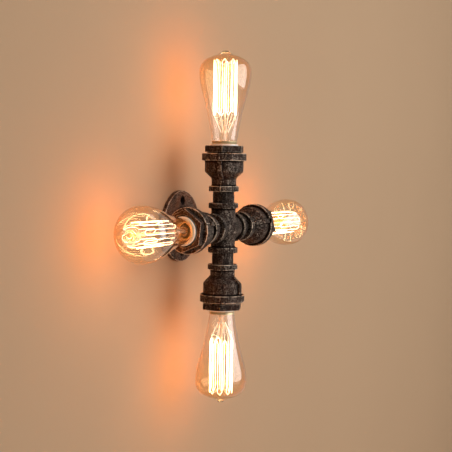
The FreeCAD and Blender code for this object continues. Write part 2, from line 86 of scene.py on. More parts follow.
# Turn of each reducer, bushing and filament cage about its arm, in degrees.
REDUCER_TURN = {"top": 15.0, "bottom": 92.0, "left": 20.0, "right": 60.0}
BUSHING_TURN = {"top": -9.0, "bottom": 8.0, "left": -6.0, "right": 0.0}
CAGE_TURN = {"top": 11.2, "bottom": 11.2, "left": 3.0, "right": 3.0}

BLOCK_LOW, BLOCK_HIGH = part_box("junction_block")
CENTRE = (BLOCK_LOW + BLOCK_HIGH) / 2


def outward(arm):
    """Direction of an arm."""
    return Vector(ARM_AXES[arm][2])


def stations(node, arm):
    """First and last place of a node along an arm, in millimetres from the cross centre."""
    low, high = sorted((corner - CENTRE).dot(outward(arm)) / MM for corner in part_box(node))
    return low, high


def node_radius(node, arm):
    """Radius of a round node about an arm, in millimetres."""
    low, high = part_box(node)
    return max(side for side, along in zip(high - low, outward(arm)) if abs(along) < 0.5) / 2 / MM


def arm_nodes(kind):
    """Each arm with its node of a kind and that node's first and last place."""
    for arm in ARMS:
        node = f"{arm}_{kind}"
        yield arm, node, *stations(node, arm)


def length_property(name, description, default, low, high):
    """A length in millimetres that a user can change."""
    return FloatProperty(
        name=name, description=description + ", in millimetres", default=default, min=low, max=high)


def colour_property(name, description, default):
    """A colour that a user can change."""
    return FloatVectorProperty(
        name=name, description=description, default=default, size=3, min=0.0, max=1.0, subtype="COLOR")


class LampSizes(bpy.types.PropertyGroup):
    """Sizes of the visible forms."""

    ease: length_property("Eased edge", "Radius of the rounded edges of the castings", 0.8, 0.2, 2.0)
    rib_height: length_property("Rib height", "Height of the cast ribs on the reducers' bells", 2.4, 0.0, 4.0)
    seam_height: length_property("Seam height", "Height of the mould seam on the reducers", 0.5, 0.0, 1.5)
    relief: length_property("Cast relief", "Depth of the uneven cast skin", 0.16, 0.0, 0.5)
    blend: length_property("Cross blend", "Softness of the joins between the cross outlets", 6.0, 1.0, 8.0)
    thread_pitch: length_property(
        "Cap thread pitch", "Rise of the bulb cap's thread in one turn", 3.629, 1.0, 5.0)
    filament_radius: length_property("Filament radius", "Radius of the glowing wire", 0.19, 0.1, 1.0)
    runs: IntProperty(
        name="Filament runs", description="Upright runs of one filament", default=16, min=4, max=32)
    bulb_power: FloatProperty(
        name="Bulb power", description="Light that each bulb gives to its surroundings",
        default=0.26, min=0.0, max=10.0, unit="POWER")
    glow: FloatProperty(
        name="Filament glow", description="Brightness of the glowing wire", default=9.0, min=0.0, max=50.0)


class LampColours(bpy.types.PropertyGroup):
    """Colours of the finishes."""

    iron: colour_property("Iron", "Black of the castings", (0.0045, 0.0038, 0.0038))
    # Black of the cast skin's pits, and painted shade in the creases and screw holes.
    pit_black_and_crease_shade: colour_property("Soot", "Black in creases and pits", (0.002, 0.0015, 0.0015))
    umber: colour_property("Umber", "Brown cast over the black", (0.036, 0.009, 0.0045))
    rust: colour_property("Rust", "Red-brown of the wall flange", (0.13, 0.050, 0.025))
    bronze: colour_property("Bronze", "Rubbed metal on edges", (0.72, 0.59, 0.465))
    ash: colour_property("Ash", "Grey dry brushing on high spots", (0.44, 0.36, 0.295))
    porcelain: colour_property("Porcelain", "Glazed lampholder", (0.92, 0.90, 0.85))
    brass: colour_property("Brass", "Contacts, shells and screws", (0.60, 0.42, 0.17))
    cap: colour_property("Cap", "Plated bulb cap", (0.66, 0.54, 0.33))
    tin: colour_property("Tin", "Solder on the end contact", (0.55, 0.54, 0.52))
    amber: colour_property("Amber", "Tint of the bulb glass", (0.96, 0.80, 0.54))
    clear: colour_property("Clear", "Tint of the glass at its neck", (0.97, 0.95, 0.91))
    mount: colour_property("Mount", "Clouded glass of the mount", (0.92, 0.86, 0.76))
    # Rod is the mount's deep tint and also the colour of its painted glow by the cage.
    rod: colour_property("Rod", "Glass rod inside the lit cage", (1.0, 0.91, 0.62))
    seal: colour_property("Seal", "Clouded glass of the neck round the mount's seal", (1.0, 0.88, 0.60))
    # Olive is painted shade inside the seal's cup, dark under any lamp.
    painted_seal_shade: colour_property("Olive", "Clouded glass inside the seal", (0.09, 0.10, 0.075))
    filament: colour_property("Filament", "Glow of the wire", (1.0, 0.85, 0.60))
    lamp: colour_property("Lamp light", "Light of the bulbs", (1.0, 0.25, 0.0))
    wire: colour_property("Support wire", "Hooks and lead-ins", (0.92, 0.86, 0.74))
    live: colour_property("Live lead", "Insulation of the live leads", (0.16, 0.065, 0.03))
    neutral: colour_property("Neutral lead", "Insulation of the neutral leads", (0.03, 0.10, 0.32))
    wall: colour_property("Backdrop", "Pale backdrop", (0.43, 0.295, 0.184))
    floor: colour_property("Floor", "Pale floor", (0.82, 0.74, 0.65))


# Shader nodes

SEEN_RAYS = ("Is Camera Ray", "Is Glossy Ray", "Is Transmission Ray")
SPECULAR_TINT = (1.0, 0.72, 0.58)
CREAM = (1.0, 0.965, 0.90)
JET = (0.008, 0.008, 0.010)
GLASS_IOR = 1.58
COAT_IOR = 1.5
RIM_DEPTH = 4.6
FLOOR_SHOWN = 0.7
FLOOR_SHARE = 0.6


def arithmetic(operation, reflected=False):
    """Method of a Wire for one operation, or for its reflected form."""
    def method(self, other):
        first, second = (other, self) if reflected else (self, other)
        return self.math(operation, first, second)
    return method


class Wire:
    """A shader socket that plain arithmetic works on."""

    def __init__(self, shader, socket):
        self.shader = shader
        self.socket = socket

    def math(self, operation, first, second, clamp=False):
        settings = {"operation": operation, "use_clamp": clamp}
        return self.shader.out("ShaderNodeMath", settings, {0: first, 1: second})

    __add__, __radd__ = arithmetic("ADD"), arithmetic("ADD", True)
    __sub__, __rsub__ = arithmetic("SUBTRACT"), arithmetic("SUBTRACT", True)
    __mul__, __rmul__ = arithmetic("MULTIPLY"), arithmetic("MULTIPLY", True)
    __pow__, __rpow__ = arithmetic("POWER"), arithmetic("POWER", True)

    def clamp(self):
        return self.math("ADD", self, 0.0, clamp=True)

    def between(self, low, high):
        """Smooth step from 0 at low to 1 at high."""
        settings = {"interpolation_type": "SMOOTHSTEP"}
        sockets = {"Value": self, "From Min": low, "From Max": high}
        return self.shader.out("ShaderNodeMapRange", settings, sockets)


class Shader:
    """Node tree of one material or world."""

    def __init__(self, owner, output="ShaderNodeOutputMaterial"):
        self.owner = owner
        owner.use_nodes = True
        self.tree = owner.node_tree
        self.tree.nodes.clear()
        self.output = self.node(output)

    def node(self, kind, settings=None, sockets=None):
        """A node of a type, with its settings and the values or links of its sockets."""
        made = self.tree.nodes.new(kind)
        for key, value in (settings or {}).items():
            setattr(made, key, value)
        for key, value in (sockets or {}).items():
            socket = made.inputs[key]
            if isinstance(value, Wire):
                self.tree.links.new(value.socket, socket)
            elif hasattr(socket.default_value, "__len__") and len(socket.default_value) == 4:
                socket.default_value = (*value, 1.0)
            else:
                socket.default_value = value
        return made

    def out(self, kind, settings=None, sockets=None, output=0):
        return Wire(self, self.node(kind, settings, sockets).outputs[output])

    def attribute(self, name, output="Fac"):
        """Values that a mesh keeps for each of its points."""
        return self.out("ShaderNodeAttribute", {"attribute_name": name}, output=output)

    def noise(self, scale, detail=3.0, roughness=0.55, stretch=None, vector=None):
        """Noise of a number of features per metre, from 0 to 1."""
        vector = vector or self.out("ShaderNodeTexCoord", output="Object")
        if stretch:
            vector = self.out("ShaderNodeMapping", None, {"Vector": vector, "Scale": stretch})
        sockets = {"Vector": vector, "Scale": scale, "Detail": detail, "Roughness": roughness}
        return self.out("ShaderNodeTexNoise", None, sockets)

    def seen(self):
        """1 for the rays that show a background, straight, reflected or through glass, and 0 for the rest."""
        path = self.node("ShaderNodeLightPath")
        first, *others = (Wire(self, path.outputs[kind]) for kind in SEEN_RAYS)
        return sum(others, first).clamp()

    def mix(self, factor, first, second):
        """Colour between two colours."""
        return self.out("ShaderNodeMix", {"data_type": "RGBA"}, {0: factor, 6: first, 7: second}, 2)

    def bump(self, height, strength, depth):
        """Normal from a height, with its depth in millimetres."""
        sockets = {"Height": height, "Strength": strength, "Distance": depth * MM}
        return self.out("ShaderNodeBump", None, sockets)

    def principled(self, sockets):
        return self.out("ShaderNodeBsdfPrincipled", None, sockets)

    def mixed(self, factor, first, second):
        """Mix of two closures."""
        return self.out("ShaderNodeMixShader", None, {0: factor, 1: first, 2: second})

    def surface(self, closure):
        """Make a closure the surface of the material or world."""
        self.tree.links.new(closure.socket, self.output.inputs["Surface"])

    def faint(self):
        """Keep a weak glow from being sampled as a lamp."""
        self.owner.cycles.emission_sampling = "NONE"


def scaled(colour, factor):
    """Lighter or darker colour, with no channel over 1."""
    return tuple(min(1.0, c * factor) for c in colour)


def cast_finish(s, colours, tone, rub, brown):
    """Blackened casting with brown clouds, broken bronze edges, dry-brushed grey specks and painted shade in
    its creases.
    """
    worn, hollow = s.attribute("worn"), s.attribute("hollow")
    clouds = s.noise(60.0, 4.0)
    patches = s.noise(150.0, 5.0, 0.62)
    grain = s.noise(700.0, 3.0, 0.66)
    pits = s.noise(1500.0, 2.0)
    strokes = s.noise(430.0, 3.0, 0.6, vector=s.attribute("brush", "Vector")).between(0.40, 0.64)
    broken = (patches - 0.5) * 2.4 + (clouds - 0.5) * 1.2 + (grain - 0.5) * 2.0
    edge = (worn * 0.9 + broken).between(0.42, 0.92) * worn.clamp() * rub
    tooth = grain * 0.6 + pits * 0.4
    dabs = (tooth + (patches - 0.5) * 0.25).between(0.45, 0.68)
    speck = dabs * (0.4 + strokes * 1.2) * (1 - hollow) * rub
    # Painted shade: creases and screw holes go towards black, along with the pits of the grain.
    pits_and_crease_shade = (tooth.between(0.48, 0.40) + hollow * 1.2).clamp()
    base = s.mix((clouds.between(0.35, 0.65) * brown).clamp(), colours.iron, tone)
    base = s.mix((speck * 0.6).clamp(), base, colours.ash)
    base = s.mix(edge.clamp(), base, colours.bronze)
    height = grain * 0.9 + pits * 0.3 + patches * 0.4 + strokes * 0.25
    s.surface(s.principled({
        "Base Color": s.mix(pits_and_crease_shade, base, colours.pit_black_and_crease_shade),
        "Roughness": (0.36 - speck * 0.06 + (grain - 0.5) * 0.3 + pits_and_crease_shade * 0.25).clamp(),
        "Metallic": (edge * 0.35 + speck * 0.7).clamp(),
        "Specular IOR Level": 0.10,
        "Specular Tint": SPECULAR_TINT,
        "Normal": s.bump(height, 1.0, 0.9),
    }))


def porcelain_finish(s, colours):
    """White glaze with faint cream clouds and small dark specks."""
    clouds = s.noise(120.0, 3.0)
    specks = s.noise(1500.0, 1.0).between(0.74, 0.80)
    cream = tuple(c * k for c, k in zip(colours.porcelain, CREAM))
    base = s.mix(clouds, colours.porcelain, cream)
    s.surface(s.principled({
        "Base Color": s.mix(specks * 0.25, base, colours.umber),
        "Roughness": 0.16 + clouds * 0.10,
        "Coat Weight": 0.5,
        "Coat Roughness": 0.06,
        "Normal": s.bump(clouds, 0.2, 0.15),
    }))


def metal_finish(s, colour, rough, streak, glow=0.0):
    """Drawn metal with fine streaks and a little tarnish, which may carry a painted glow."""
    streaks = s.noise(300.0, 3.0, 0.6, stretch=(1.0, 1.0, streak))
    tarnish = s.noise(140.0, 4.0).between(0.45, 0.75)
    dull = scaled(colour, 0.45)
    s.surface(s.principled({
        "Base Color": s.mix(tarnish * 0.6, colour, dull),
        "Roughness": (rough + streaks * 0.18 + tarnish * 0.15).clamp(),
        "Metallic": 1.0,
        "Normal": s.bump(streaks, 0.15, 0.05),
        # Painted glow: the metal is no lamp, and the support wires get it beside the lit cage.
        "Emission Color": s.mix(tarnish, colour, dull),
        "Emission Strength": glow,
    }))
    s.faint()


def glass_finish(s, low_tint, high_tint_and_glow, waviness, glow, clearness, coat):
    """Glass that lets lamp light through, with a tint that deepens along the bulb and a painted glow where
    that tint is deep.
    """
    ripple = s.noise(45.0, 2.0)
    edgewise = s.out("ShaderNodeLayerWeight", None, {"Blend": 0.5}, output="Facing")
    deep = ((s.attribute("along") + (ripple - 0.5) * 0.25).between(0.15, 1.0) ** 1.6).clamp()
    tint = s.mix(deep, low_tint, high_tint_and_glow)
    rim = tuple(c ** RIM_DEPTH for c in high_tint_and_glow)
    body = s.principled({
        "Base Color": s.mix((edgewise ** 1.4 * (0.35 + deep * 0.65)).clamp(), tint, rim),
        "Roughness": 0.01,
        "IOR": GLASS_IOR,
        "Transmission Weight": clearness,
        "Coat Weight": coat,
        "Coat IOR": COAT_IOR,
        "Coat Roughness": 0.0,
        "Normal": s.bump(ripple, waviness, 0.4),
        # Painted glow: the glass is no lamp, and this emission stands in for the filament's light caught in
        # it.
        "Emission Color": s.mix(deep, (0.0, 0.0, 0.0), high_tint_and_glow),
        "Emission Strength": glow,
    })
    passing = s.out("ShaderNodeBsdfTransparent", None, {"Color": low_tint})
    shadow = s.out("ShaderNodeLightPath", output="Is Shadow Ray")
    s.surface(s.mixed(shadow, body, passing))
    s.faint()


def seal_finish(s, pale, dark):
    """Clouded glass where a mount is sealed into the bulb's neck, pale on its wall, with painted shade
    inside.
    """
    clouds = s.noise(220.0, 3.0)
    outer = (s.attribute("rim") + (clouds - 0.5) * 0.06).between(0.84, 0.94)
    s.surface(s.principled({
        # Painted shade: the middle of the seal is dark, and its outer wall pale.
        "Base Color": s.mix(outer, dark, pale),
        "Roughness": 0.22 + clouds * 0.2,
        "Normal": s.bump(clouds, 0.3, 0.4),
    }))


def black_glass_finish(s, colours):
    """Moulded black glass with a fire-polished skin."""
    ripple = s.noise(400.0, 3.0)
    s.surface(s.principled({
        "Base Color": s.mix(ripple, JET, colours.iron),
        "Roughness": 0.12 + ripple * 0.12,
        "Normal": s.bump(ripple, 0.3, 0.1),
    }))


def filament_finish(s, colours, glow):
    """Glowing wire, a little brighter in the middle of its mottle."""
    mottle = s.noise(600.0, 2.0)
    s.surface(s.principled({
        "Base Color": s.mix(mottle, colours.bronze, colours.wire),
        "Roughness": 0.5,
        "Emission Color": s.mix(mottle, colours.filament, scaled(colours.filament, 1.25)),
        "Emission Strength": glow,
    }))


def lead_finish(s, colour):
    """Soft plastic insulation with a faint pull along the wire."""
    pull = s.noise(500.0, 2.0)
    pale = tuple(c * 1.35 + 0.01 for c in colour)
    s.surface(s.principled({
        "Base Color": s.mix(pull, colour, pale),
        "Roughness": 0.38 + pull * 0.2,
        "Normal": s.bump(pull, 0.2, 0.1),
    }))


def stage_finish(s, colour, one_sided):
    """Plain pale plaster. One-sided, it shows nothing from behind, and otherwise it stays pale far off."""
    body = s.principled({
        "Base Color": s.mix(s.noise(3.0, 2.0), colour, scaled(colour, 1.06)),
        "Roughness": 0.9,
        "Specular IOR Level": 0.1,
        "Normal": s.bump(s.noise(260.0, 4.0), 0.25, 0.3),
    })
    if one_sided:
        back = s.out("ShaderNodeNewGeometry", output="Backfacing")
        s.surface(s.mixed(back, body, s.out("ShaderNodeBsdfTransparent")))
    else:
        shown = s.out("ShaderNodeEmission", None, {"Color": colour, "Strength": FLOOR_SHOWN})
        s.surface(s.mixed(s.seen() * FLOOR_SHARE, body, shown))
        s.faint()


def new_finish(name, maker, *values):
    """Material whose nodes come from one of the finishes."""
    material = bpy.data.materials.new(name)
    maker(Shader(material), *values)
    return material


FINISHES = {}


def finish(slot):
    """Material of a record slot or of a variant of one, made once."""
    if slot not in FINISHES:
        c = bpy.context.scene.lamp_colours
        makers = {
            "cast_iron": (cast_finish, c, c.umber, 1.0, 0.5),
            "pipe_iron": (cast_finish, c, c.umber, 0.68, 0.4),
            "hex_iron": (cast_finish, c, c.umber, 0.55, 0.5),
            "rust_iron": (cast_finish, c, c.rust, 0.9, 0.9),
            "porcelain": (porcelain_finish, c),
            "brass": (metal_finish, c.brass, 0.26, 6.0),
            "cap_brass": (metal_finish, c.cap, 0.30, 6.0),
            "solder": (metal_finish, c.tin, 0.42, 1.0),
            "black_glass": (black_glass_finish, c),
            # Both glasses carry a painted glow: faint on the envelope, strong on the mount's rod by the cage.
            "amber_glass": (glass_finish, c.clear, c.amber, 0.012, 0.02, 1.0, 0.5),
            "clear_glass": (glass_finish, c.mount, c.rod, 0.1, 0.6, 0.72, 0.0),
            "seal": (seal_finish, c.seal, c.painted_seal_shade),
            "filament": (filament_finish, c, bpy.context.scene.lamp_sizes.glow),
            # Support wires carry a painted glow of the filament beside them.
            "support_wire": (metal_finish, c.wire, 0.3, 4.0, 0.8),
            "live_insulation": (lead_finish, c.live),
            "neutral_insulation": (lead_finish, c.neutral),
        }
        FINISHES[slot] = new_finish(slot, *makers[slot])
    return FINISHES[slot]


# Meshes

ARC_STEPS = 5
NEARLY_STRAIGHT = 1.55
LONGEST_CUT = 0.48
SAME_POINT = 1e-6
CAST_ANGLE, SOFT_ANGLE = 38.0, 60.0
EDGE_BEND, BEND_LIMIT = 520.0, 1.5
WEAR_ROUNDS, HOLLOW_ROUNDS, HOLLOW_GAIN = 2, 4, 2.2
RELIEF_SCALE = 85.0
RELIEF_WAVES = ((1.0, 1.0), (3.1, 0.5), (8.0, 0.2))
SEED_SHIFT = Vector((3.7, 1.9, 5.3))
BRUSH_DRAW = (1.0, 1.0, 0.2)


def rounded(corners):
    """Profile through (radius, station, ease) corners, each rounded by an arc of its ease."""
    points = []
    for i, (radius, station, ease) in enumerate(corners):
        here = Vector((radius, station))
        before = Vector(corners[i - 1][:2]) - here
        after = Vector(corners[(i + 1) % len(corners)][:2]) - here
        half = before.angle(after, math.pi) / 2
        if ease <= 0 or half > NEARLY_STRAIGHT:
            points.append(here)
            continue
        cut = min(ease / math.tan(half), before.length * LONGEST_CUT, after.length * LONGEST_CUT)
        start = here + before.normalized() * cut
        end = here + after.normalized() * cut
        for k in range(ARC_STEPS + 1):
            t = k / ARC_STEPS
            points.append(start.lerp(here, t).lerp(here.lerp(end, t), t))
    return points


def divided(points, step, closed=True):
    """The same profile with no run longer than a step, in millimetres."""
    dense = []
    pairs = zip(points, points[1:] + points[:1]) if closed else zip(points, points[1:])
    for first, second in pairs:
        count = max(1, math.ceil((second - first).length / step))
        dense += [first.lerp(second, k / count) for k in range(count)]
    return dense if closed else dense + points[-1:]


def arc(start, end, radius, steps):
    """Points of an arc from start up to end, bowed to the right of its run for a positive radius."""
    run = end - start
    side = Vector((run.y, -run.x)).normalized() * math.copysign(1.0, radius)
    middle = (start + end) / 2 - side * math.sqrt(radius ** 2 - (run.length / 2) ** 2)
    sweep = 2 * math.asin(run.length / 2 / abs(radius)) * math.copysign(1.0, radius)
    return [middle + Matrix.Rotation(sweep * k / steps, 2) @ (start - middle) for k in range(steps)]


def add_object(name, data):
    """New object in the scene."""
    made = bpy.data.objects.new(name, data)
    bpy.context.scene.collection.objects.link(made)
    return made


def place_piece(piece, slot, body, node):
    """Finish, body, slot and replaced node of a new piece."""
    piece.data.materials.append(finish(slot))
    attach(piece, body)
    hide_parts(node)


def smooth_shade(piece, angle):
    piece.data.shade_smooth()
    piece.data.set_sharp_from_angle(angle=math.radians(angle))


def to_frame(arm, radius, theta, station):
    """Frame points of polar places about an arm, from millimetres."""
    across, corner, out = np.array(ARM_AXES[arm], float)
    flat = (radius * np.cos(theta))[..., None] * across + (radius * np.sin(theta))[..., None] * corner
    return np.array(CENTRE) + MM * (flat + station[..., None] * out)


def from_frame(arm, points):
    """Frame points as places across, up and out along an arm, in millimetres."""
    return (points - np.array(CENTRE)) @ np.array(ARM_AXES[arm], float).T / MM


def turned(node, suffix, arm, profile, slot, segments, warp=None, body=ROOT, closed=True, extra=()):
    """Piece for a CAD node, turned about an arm from a (radius, station) profile in millimetres."""
    even = np.linspace(0, TURN, segments, endpoint=False)
    angles = np.unique(np.round(np.concatenate([even, np.mod(extra, TURN)]), 5))
    segments, rows = len(angles), len(profile)
    radius, station = (np.array([p[i] for p in profile])[:, None] * np.ones(segments) for i in (0, 1))
    theta = angles[None, :] * np.ones_like(radius)
    if warp:
        radius, station = warp(theta, radius, station)
    verts = to_frame(arm, radius, theta, station).reshape(-1, 3)
    faces = []
    for i in range(rows if closed else rows - 1):
        here, there = i * segments, (i + 1) % rows * segments
        for j in range(segments):
            k = (j + 1) % segments
            faces.append((here + j, here + k, there + k, there + j))
    mesh = bpy.data.meshes.new(node + suffix)
    mesh.from_pydata([tuple(v) for v in verts], [], faces)
    clean = bmesh.new()
    clean.from_mesh(mesh)
    bmesh.ops.remove_doubles(clean, verts=clean.verts, dist=SAME_POINT)
    bmesh.ops.recalc_face_normals(clean, faces=clean.faces)
    clean.to_mesh(mesh)
    clean.free()
    piece = add_object(node + suffix, mesh)
    place_piece(piece, slot, body, node)
    return piece


def mesh_arrays(mesh):
    """Points, normals and edges of a mesh."""
    points, normals = np.empty(len(mesh.vertices) * 3), np.empty(len(mesh.vertices) * 3)
    mesh.vertices.foreach_get("co", points)
    mesh.vertex_normals.foreach_get("vector", normals)
    edges = np.empty(len(mesh.edges) * 2, dtype=np.int64)
    mesh.edges.foreach_get("vertices", edges)
    return points.reshape(-1, 3), normals.reshape(-1, 3), edges.reshape(-1, 2)


def move_points(mesh, points):
    mesh.vertices.foreach_set("co", points.ravel())
    mesh.update()


def store(mesh, name, values):
    """Keep a value or a vector for each point, which the finishes read."""
    kind, key = ("FLOAT", "value") if values.ndim == 1 else ("FLOAT_VECTOR", "vector")
    mesh.attributes.new(name, kind, "POINT").data.foreach_set(key, values.ravel())


def spread(values, edges, rounds):
    """Values evened out over neighbouring points."""
    for _ in range(rounds):
        total = values.copy()
        count = np.ones_like(values)
        for a, b in ((0, 1), (1, 0)):
            np.add.at(total, edges[:, a], values[edges[:, b]])
            np.add.at(count, edges[:, a], 1.0)
        values = total / count
    return values


def mark_wear(mesh):
    """Store where a surface is convex, which rubs bright, and where it is hollow, which the cast finish
    paints as shade.
    """
    points, normals, edges = mesh_arrays(mesh)
    bend = np.zeros(len(points))
    count = np.zeros(len(points))
    run = points[edges[:, 1]] - points[edges[:, 0]]
    square = np.maximum((run ** 2).sum(1), 1e-12)
    for a, sign in ((0, -1.0), (1, 1.0)):
        turn = 2 * sign * (normals[edges[:, a]] * run).sum(1) / square
        np.add.at(bend, edges[:, a], turn)
        np.add.at(count, edges[:, a], 1.0)
    bend = np.clip(bend / np.maximum(count, 1) / EDGE_BEND, -BEND_LIMIT, BEND_LIMIT)
    bend = spread(bend, edges, WEAR_ROUNDS)
    store(mesh, "worn", np.clip(bend, 0.0, 1.0))
    store(mesh, "hollow", np.clip(spread(-bend, edges, HOLLOW_ROUNDS) * HOLLOW_GAIN, 0.0, 1.0))


def roughen(mesh, depth, seed):
    """Push a dense skin in and out a little, as sand casting leaves it."""
    points, normals, _ = mesh_arrays(mesh)
    lift = np.empty(len(points))
    for i, point in enumerate(points):
        spot = Vector(point) * RELIEF_SCALE + SEED_SHIFT * seed
        lift[i] = sum(weight * noise.noise(spot * scale) for scale, weight in RELIEF_WAVES)
    move_points(mesh, points + normals * (lift * depth * MM)[:, None])


def cast_skin(piece, arm, seed, depth):
    """Wear, brush strokes along an arm, cast relief and shading of a dense casting."""
    mesh = piece.data
    mark_wear(mesh)
    store(mesh, "brush", from_frame(arm, mesh_arrays(mesh)[0]) * MM * np.array(BRUSH_DRAW))
    roughen(mesh, depth, seed)
    smooth_shade(piece, CAST_ANGLE)


def mark_along(mesh, arm, low, high):
    """Store how far along an arm each point lies, from 0 at one station to 1 at another."""
    along = from_frame(arm, mesh_arrays(mesh)[0])[:, 2]
    store(mesh, "along", np.clip((along - low) / (high - low), 0.0, 1.0))


# Pieces

def cone_cutter(radius_low, radius_high, depth, middle):
    """Round cutter along Y for a flange hole, from millimetres."""
    mesh = bpy.data.meshes.new("cutter")
    shape = bmesh.new()
    placed = Matrix.Translation(middle) @ Matrix.Rotation(math.pi / 2, 4, "X")
    bmesh.ops.create_cone(
        shape, cap_ends=True, segments=48, radius1=radius_low * MM, radius2=radius_high * MM,
        depth=depth * MM, matrix=placed)
    shape.to_mesh(mesh)
    shape.free()
    return add_object("cutter", mesh)


def bake(piece):
    """Turn a piece's modifiers into its mesh."""
    graph = bpy.context.evaluated_depsgraph_get()
    done = bpy.data.meshes.new_from_object(piece.evaluated_get(graph))
    old = piece.data
    piece.modifiers.clear()
    piece.data = done
    bpy.data.meshes.remove(old)


def carve(piece, cutters):
    """Cut solids out of a piece and drop them."""
    for cutter in cutters:
        cut = piece.modifiers.new("cut", "BOOLEAN")
        cut.operation = "DIFFERENCE"
        cut.solver = "EXACT"
        cut.object = cutter
    bake(piece)
    for cutter in cutters:
        mesh = cutter.data
        bpy.data.objects.remove(cutter)
        bpy.data.meshes.remove(mesh)


class LAMP_OT_flange(bpy.types.Operator):
    """Wall flange with an eased plate, a hub and countersunk holes"""

    bl_idname = "lamp.flange"
    bl_label = "Wall flange"

    HOLES, HOLE_CIRCLE, HOLE = 4, 32.0, 3.0
    SINK, SINK_EASE = 5.75, 0.2
    DRILL = 16.0
    EDGE, CROWN = 5.2, 0.8
    TAPER, PLATE_EASE = 0.3, 1.4
    # Corners of the hub's foot: radius, rise from the plate, and ease.
    FOOT = ((24.0, 0.5, 3.0), (18.6, 3.2, 3.0))
    HUB = 18.2
    SEGMENTS, SPACING = 192, 1.2
    RELIEF, SEED = 0.10, 1.0

    def paint_hole_shade(self, mesh, spots):
        """Mark the skin of the screw holes as hollow, which the cast finish paints as shade."""
        points = mesh_arrays(mesh)[0]
        hollow = mesh.attributes["hollow"].data
        for across, up in spots:
            away = np.hypot(points[:, 0] - across, points[:, 2] - up)
            for i in np.flatnonzero(away < (self.SINK - self.SINK_EASE) * MM):
                hollow[i].value = 1.0

    def execute(self, context):
        ease = context.scene.lamp_sizes.ease
        wall, face = -CENTRE.y / MM, stations("wall_flange", "rear")[0]
        plate = node_radius("wall_flange", "rear")
        pipe = node_radius("stem_nipple", "rear")
        top = wall - self.EDGE
        corners = [(pipe, wall, 0.2), (plate, wall, 0.3), (plate - self.TAPER, top, ease * self.PLATE_EASE)]
        corners += [(radius, top - rise, soft) for radius, rise, soft in self.FOOT]
        corners += [(self.HUB, face, ease), (pipe, face, 0.3)]
        profile = divided(rounded(corners), self.SPACING)
        piece = turned("wall_flange", "_cast", "rear", profile, "cast_iron", self.SEGMENTS)
        cutters, spots = [], []
        depth = self.SINK - self.HOLE
        for k in range(self.HOLES):
            turn = TURN * k / self.HOLES
            across, up = (self.HOLE_CIRCLE * part * MM for part in (math.cos(turn), math.sin(turn)))
            spots.append((across, up))
            drill = Vector((across, -self.EDGE / 2 * MM, up))
            sink = Vector((across, -(self.EDGE + self.CROWN - depth / 2) * MM, up))
            low, high = self.HOLE - self.SINK_EASE, self.SINK + self.SINK_EASE
            cutters.append(cone_cutter(self.HOLE, self.HOLE, self.DRILL, drill))
            cutters.append(cone_cutter(low, high, depth + 2 * self.SINK_EASE, sink))
        carve(piece, cutters)
        cast_skin(piece, "rear", self.SEED, self.RELIEF)
        # Painted shade inside the screw holes, through their hollow mark.
        self.paint_hole_shade(piece.data, spots)
        piece.data.materials[0] = finish("rust_iron")
        return {"FINISHED"}


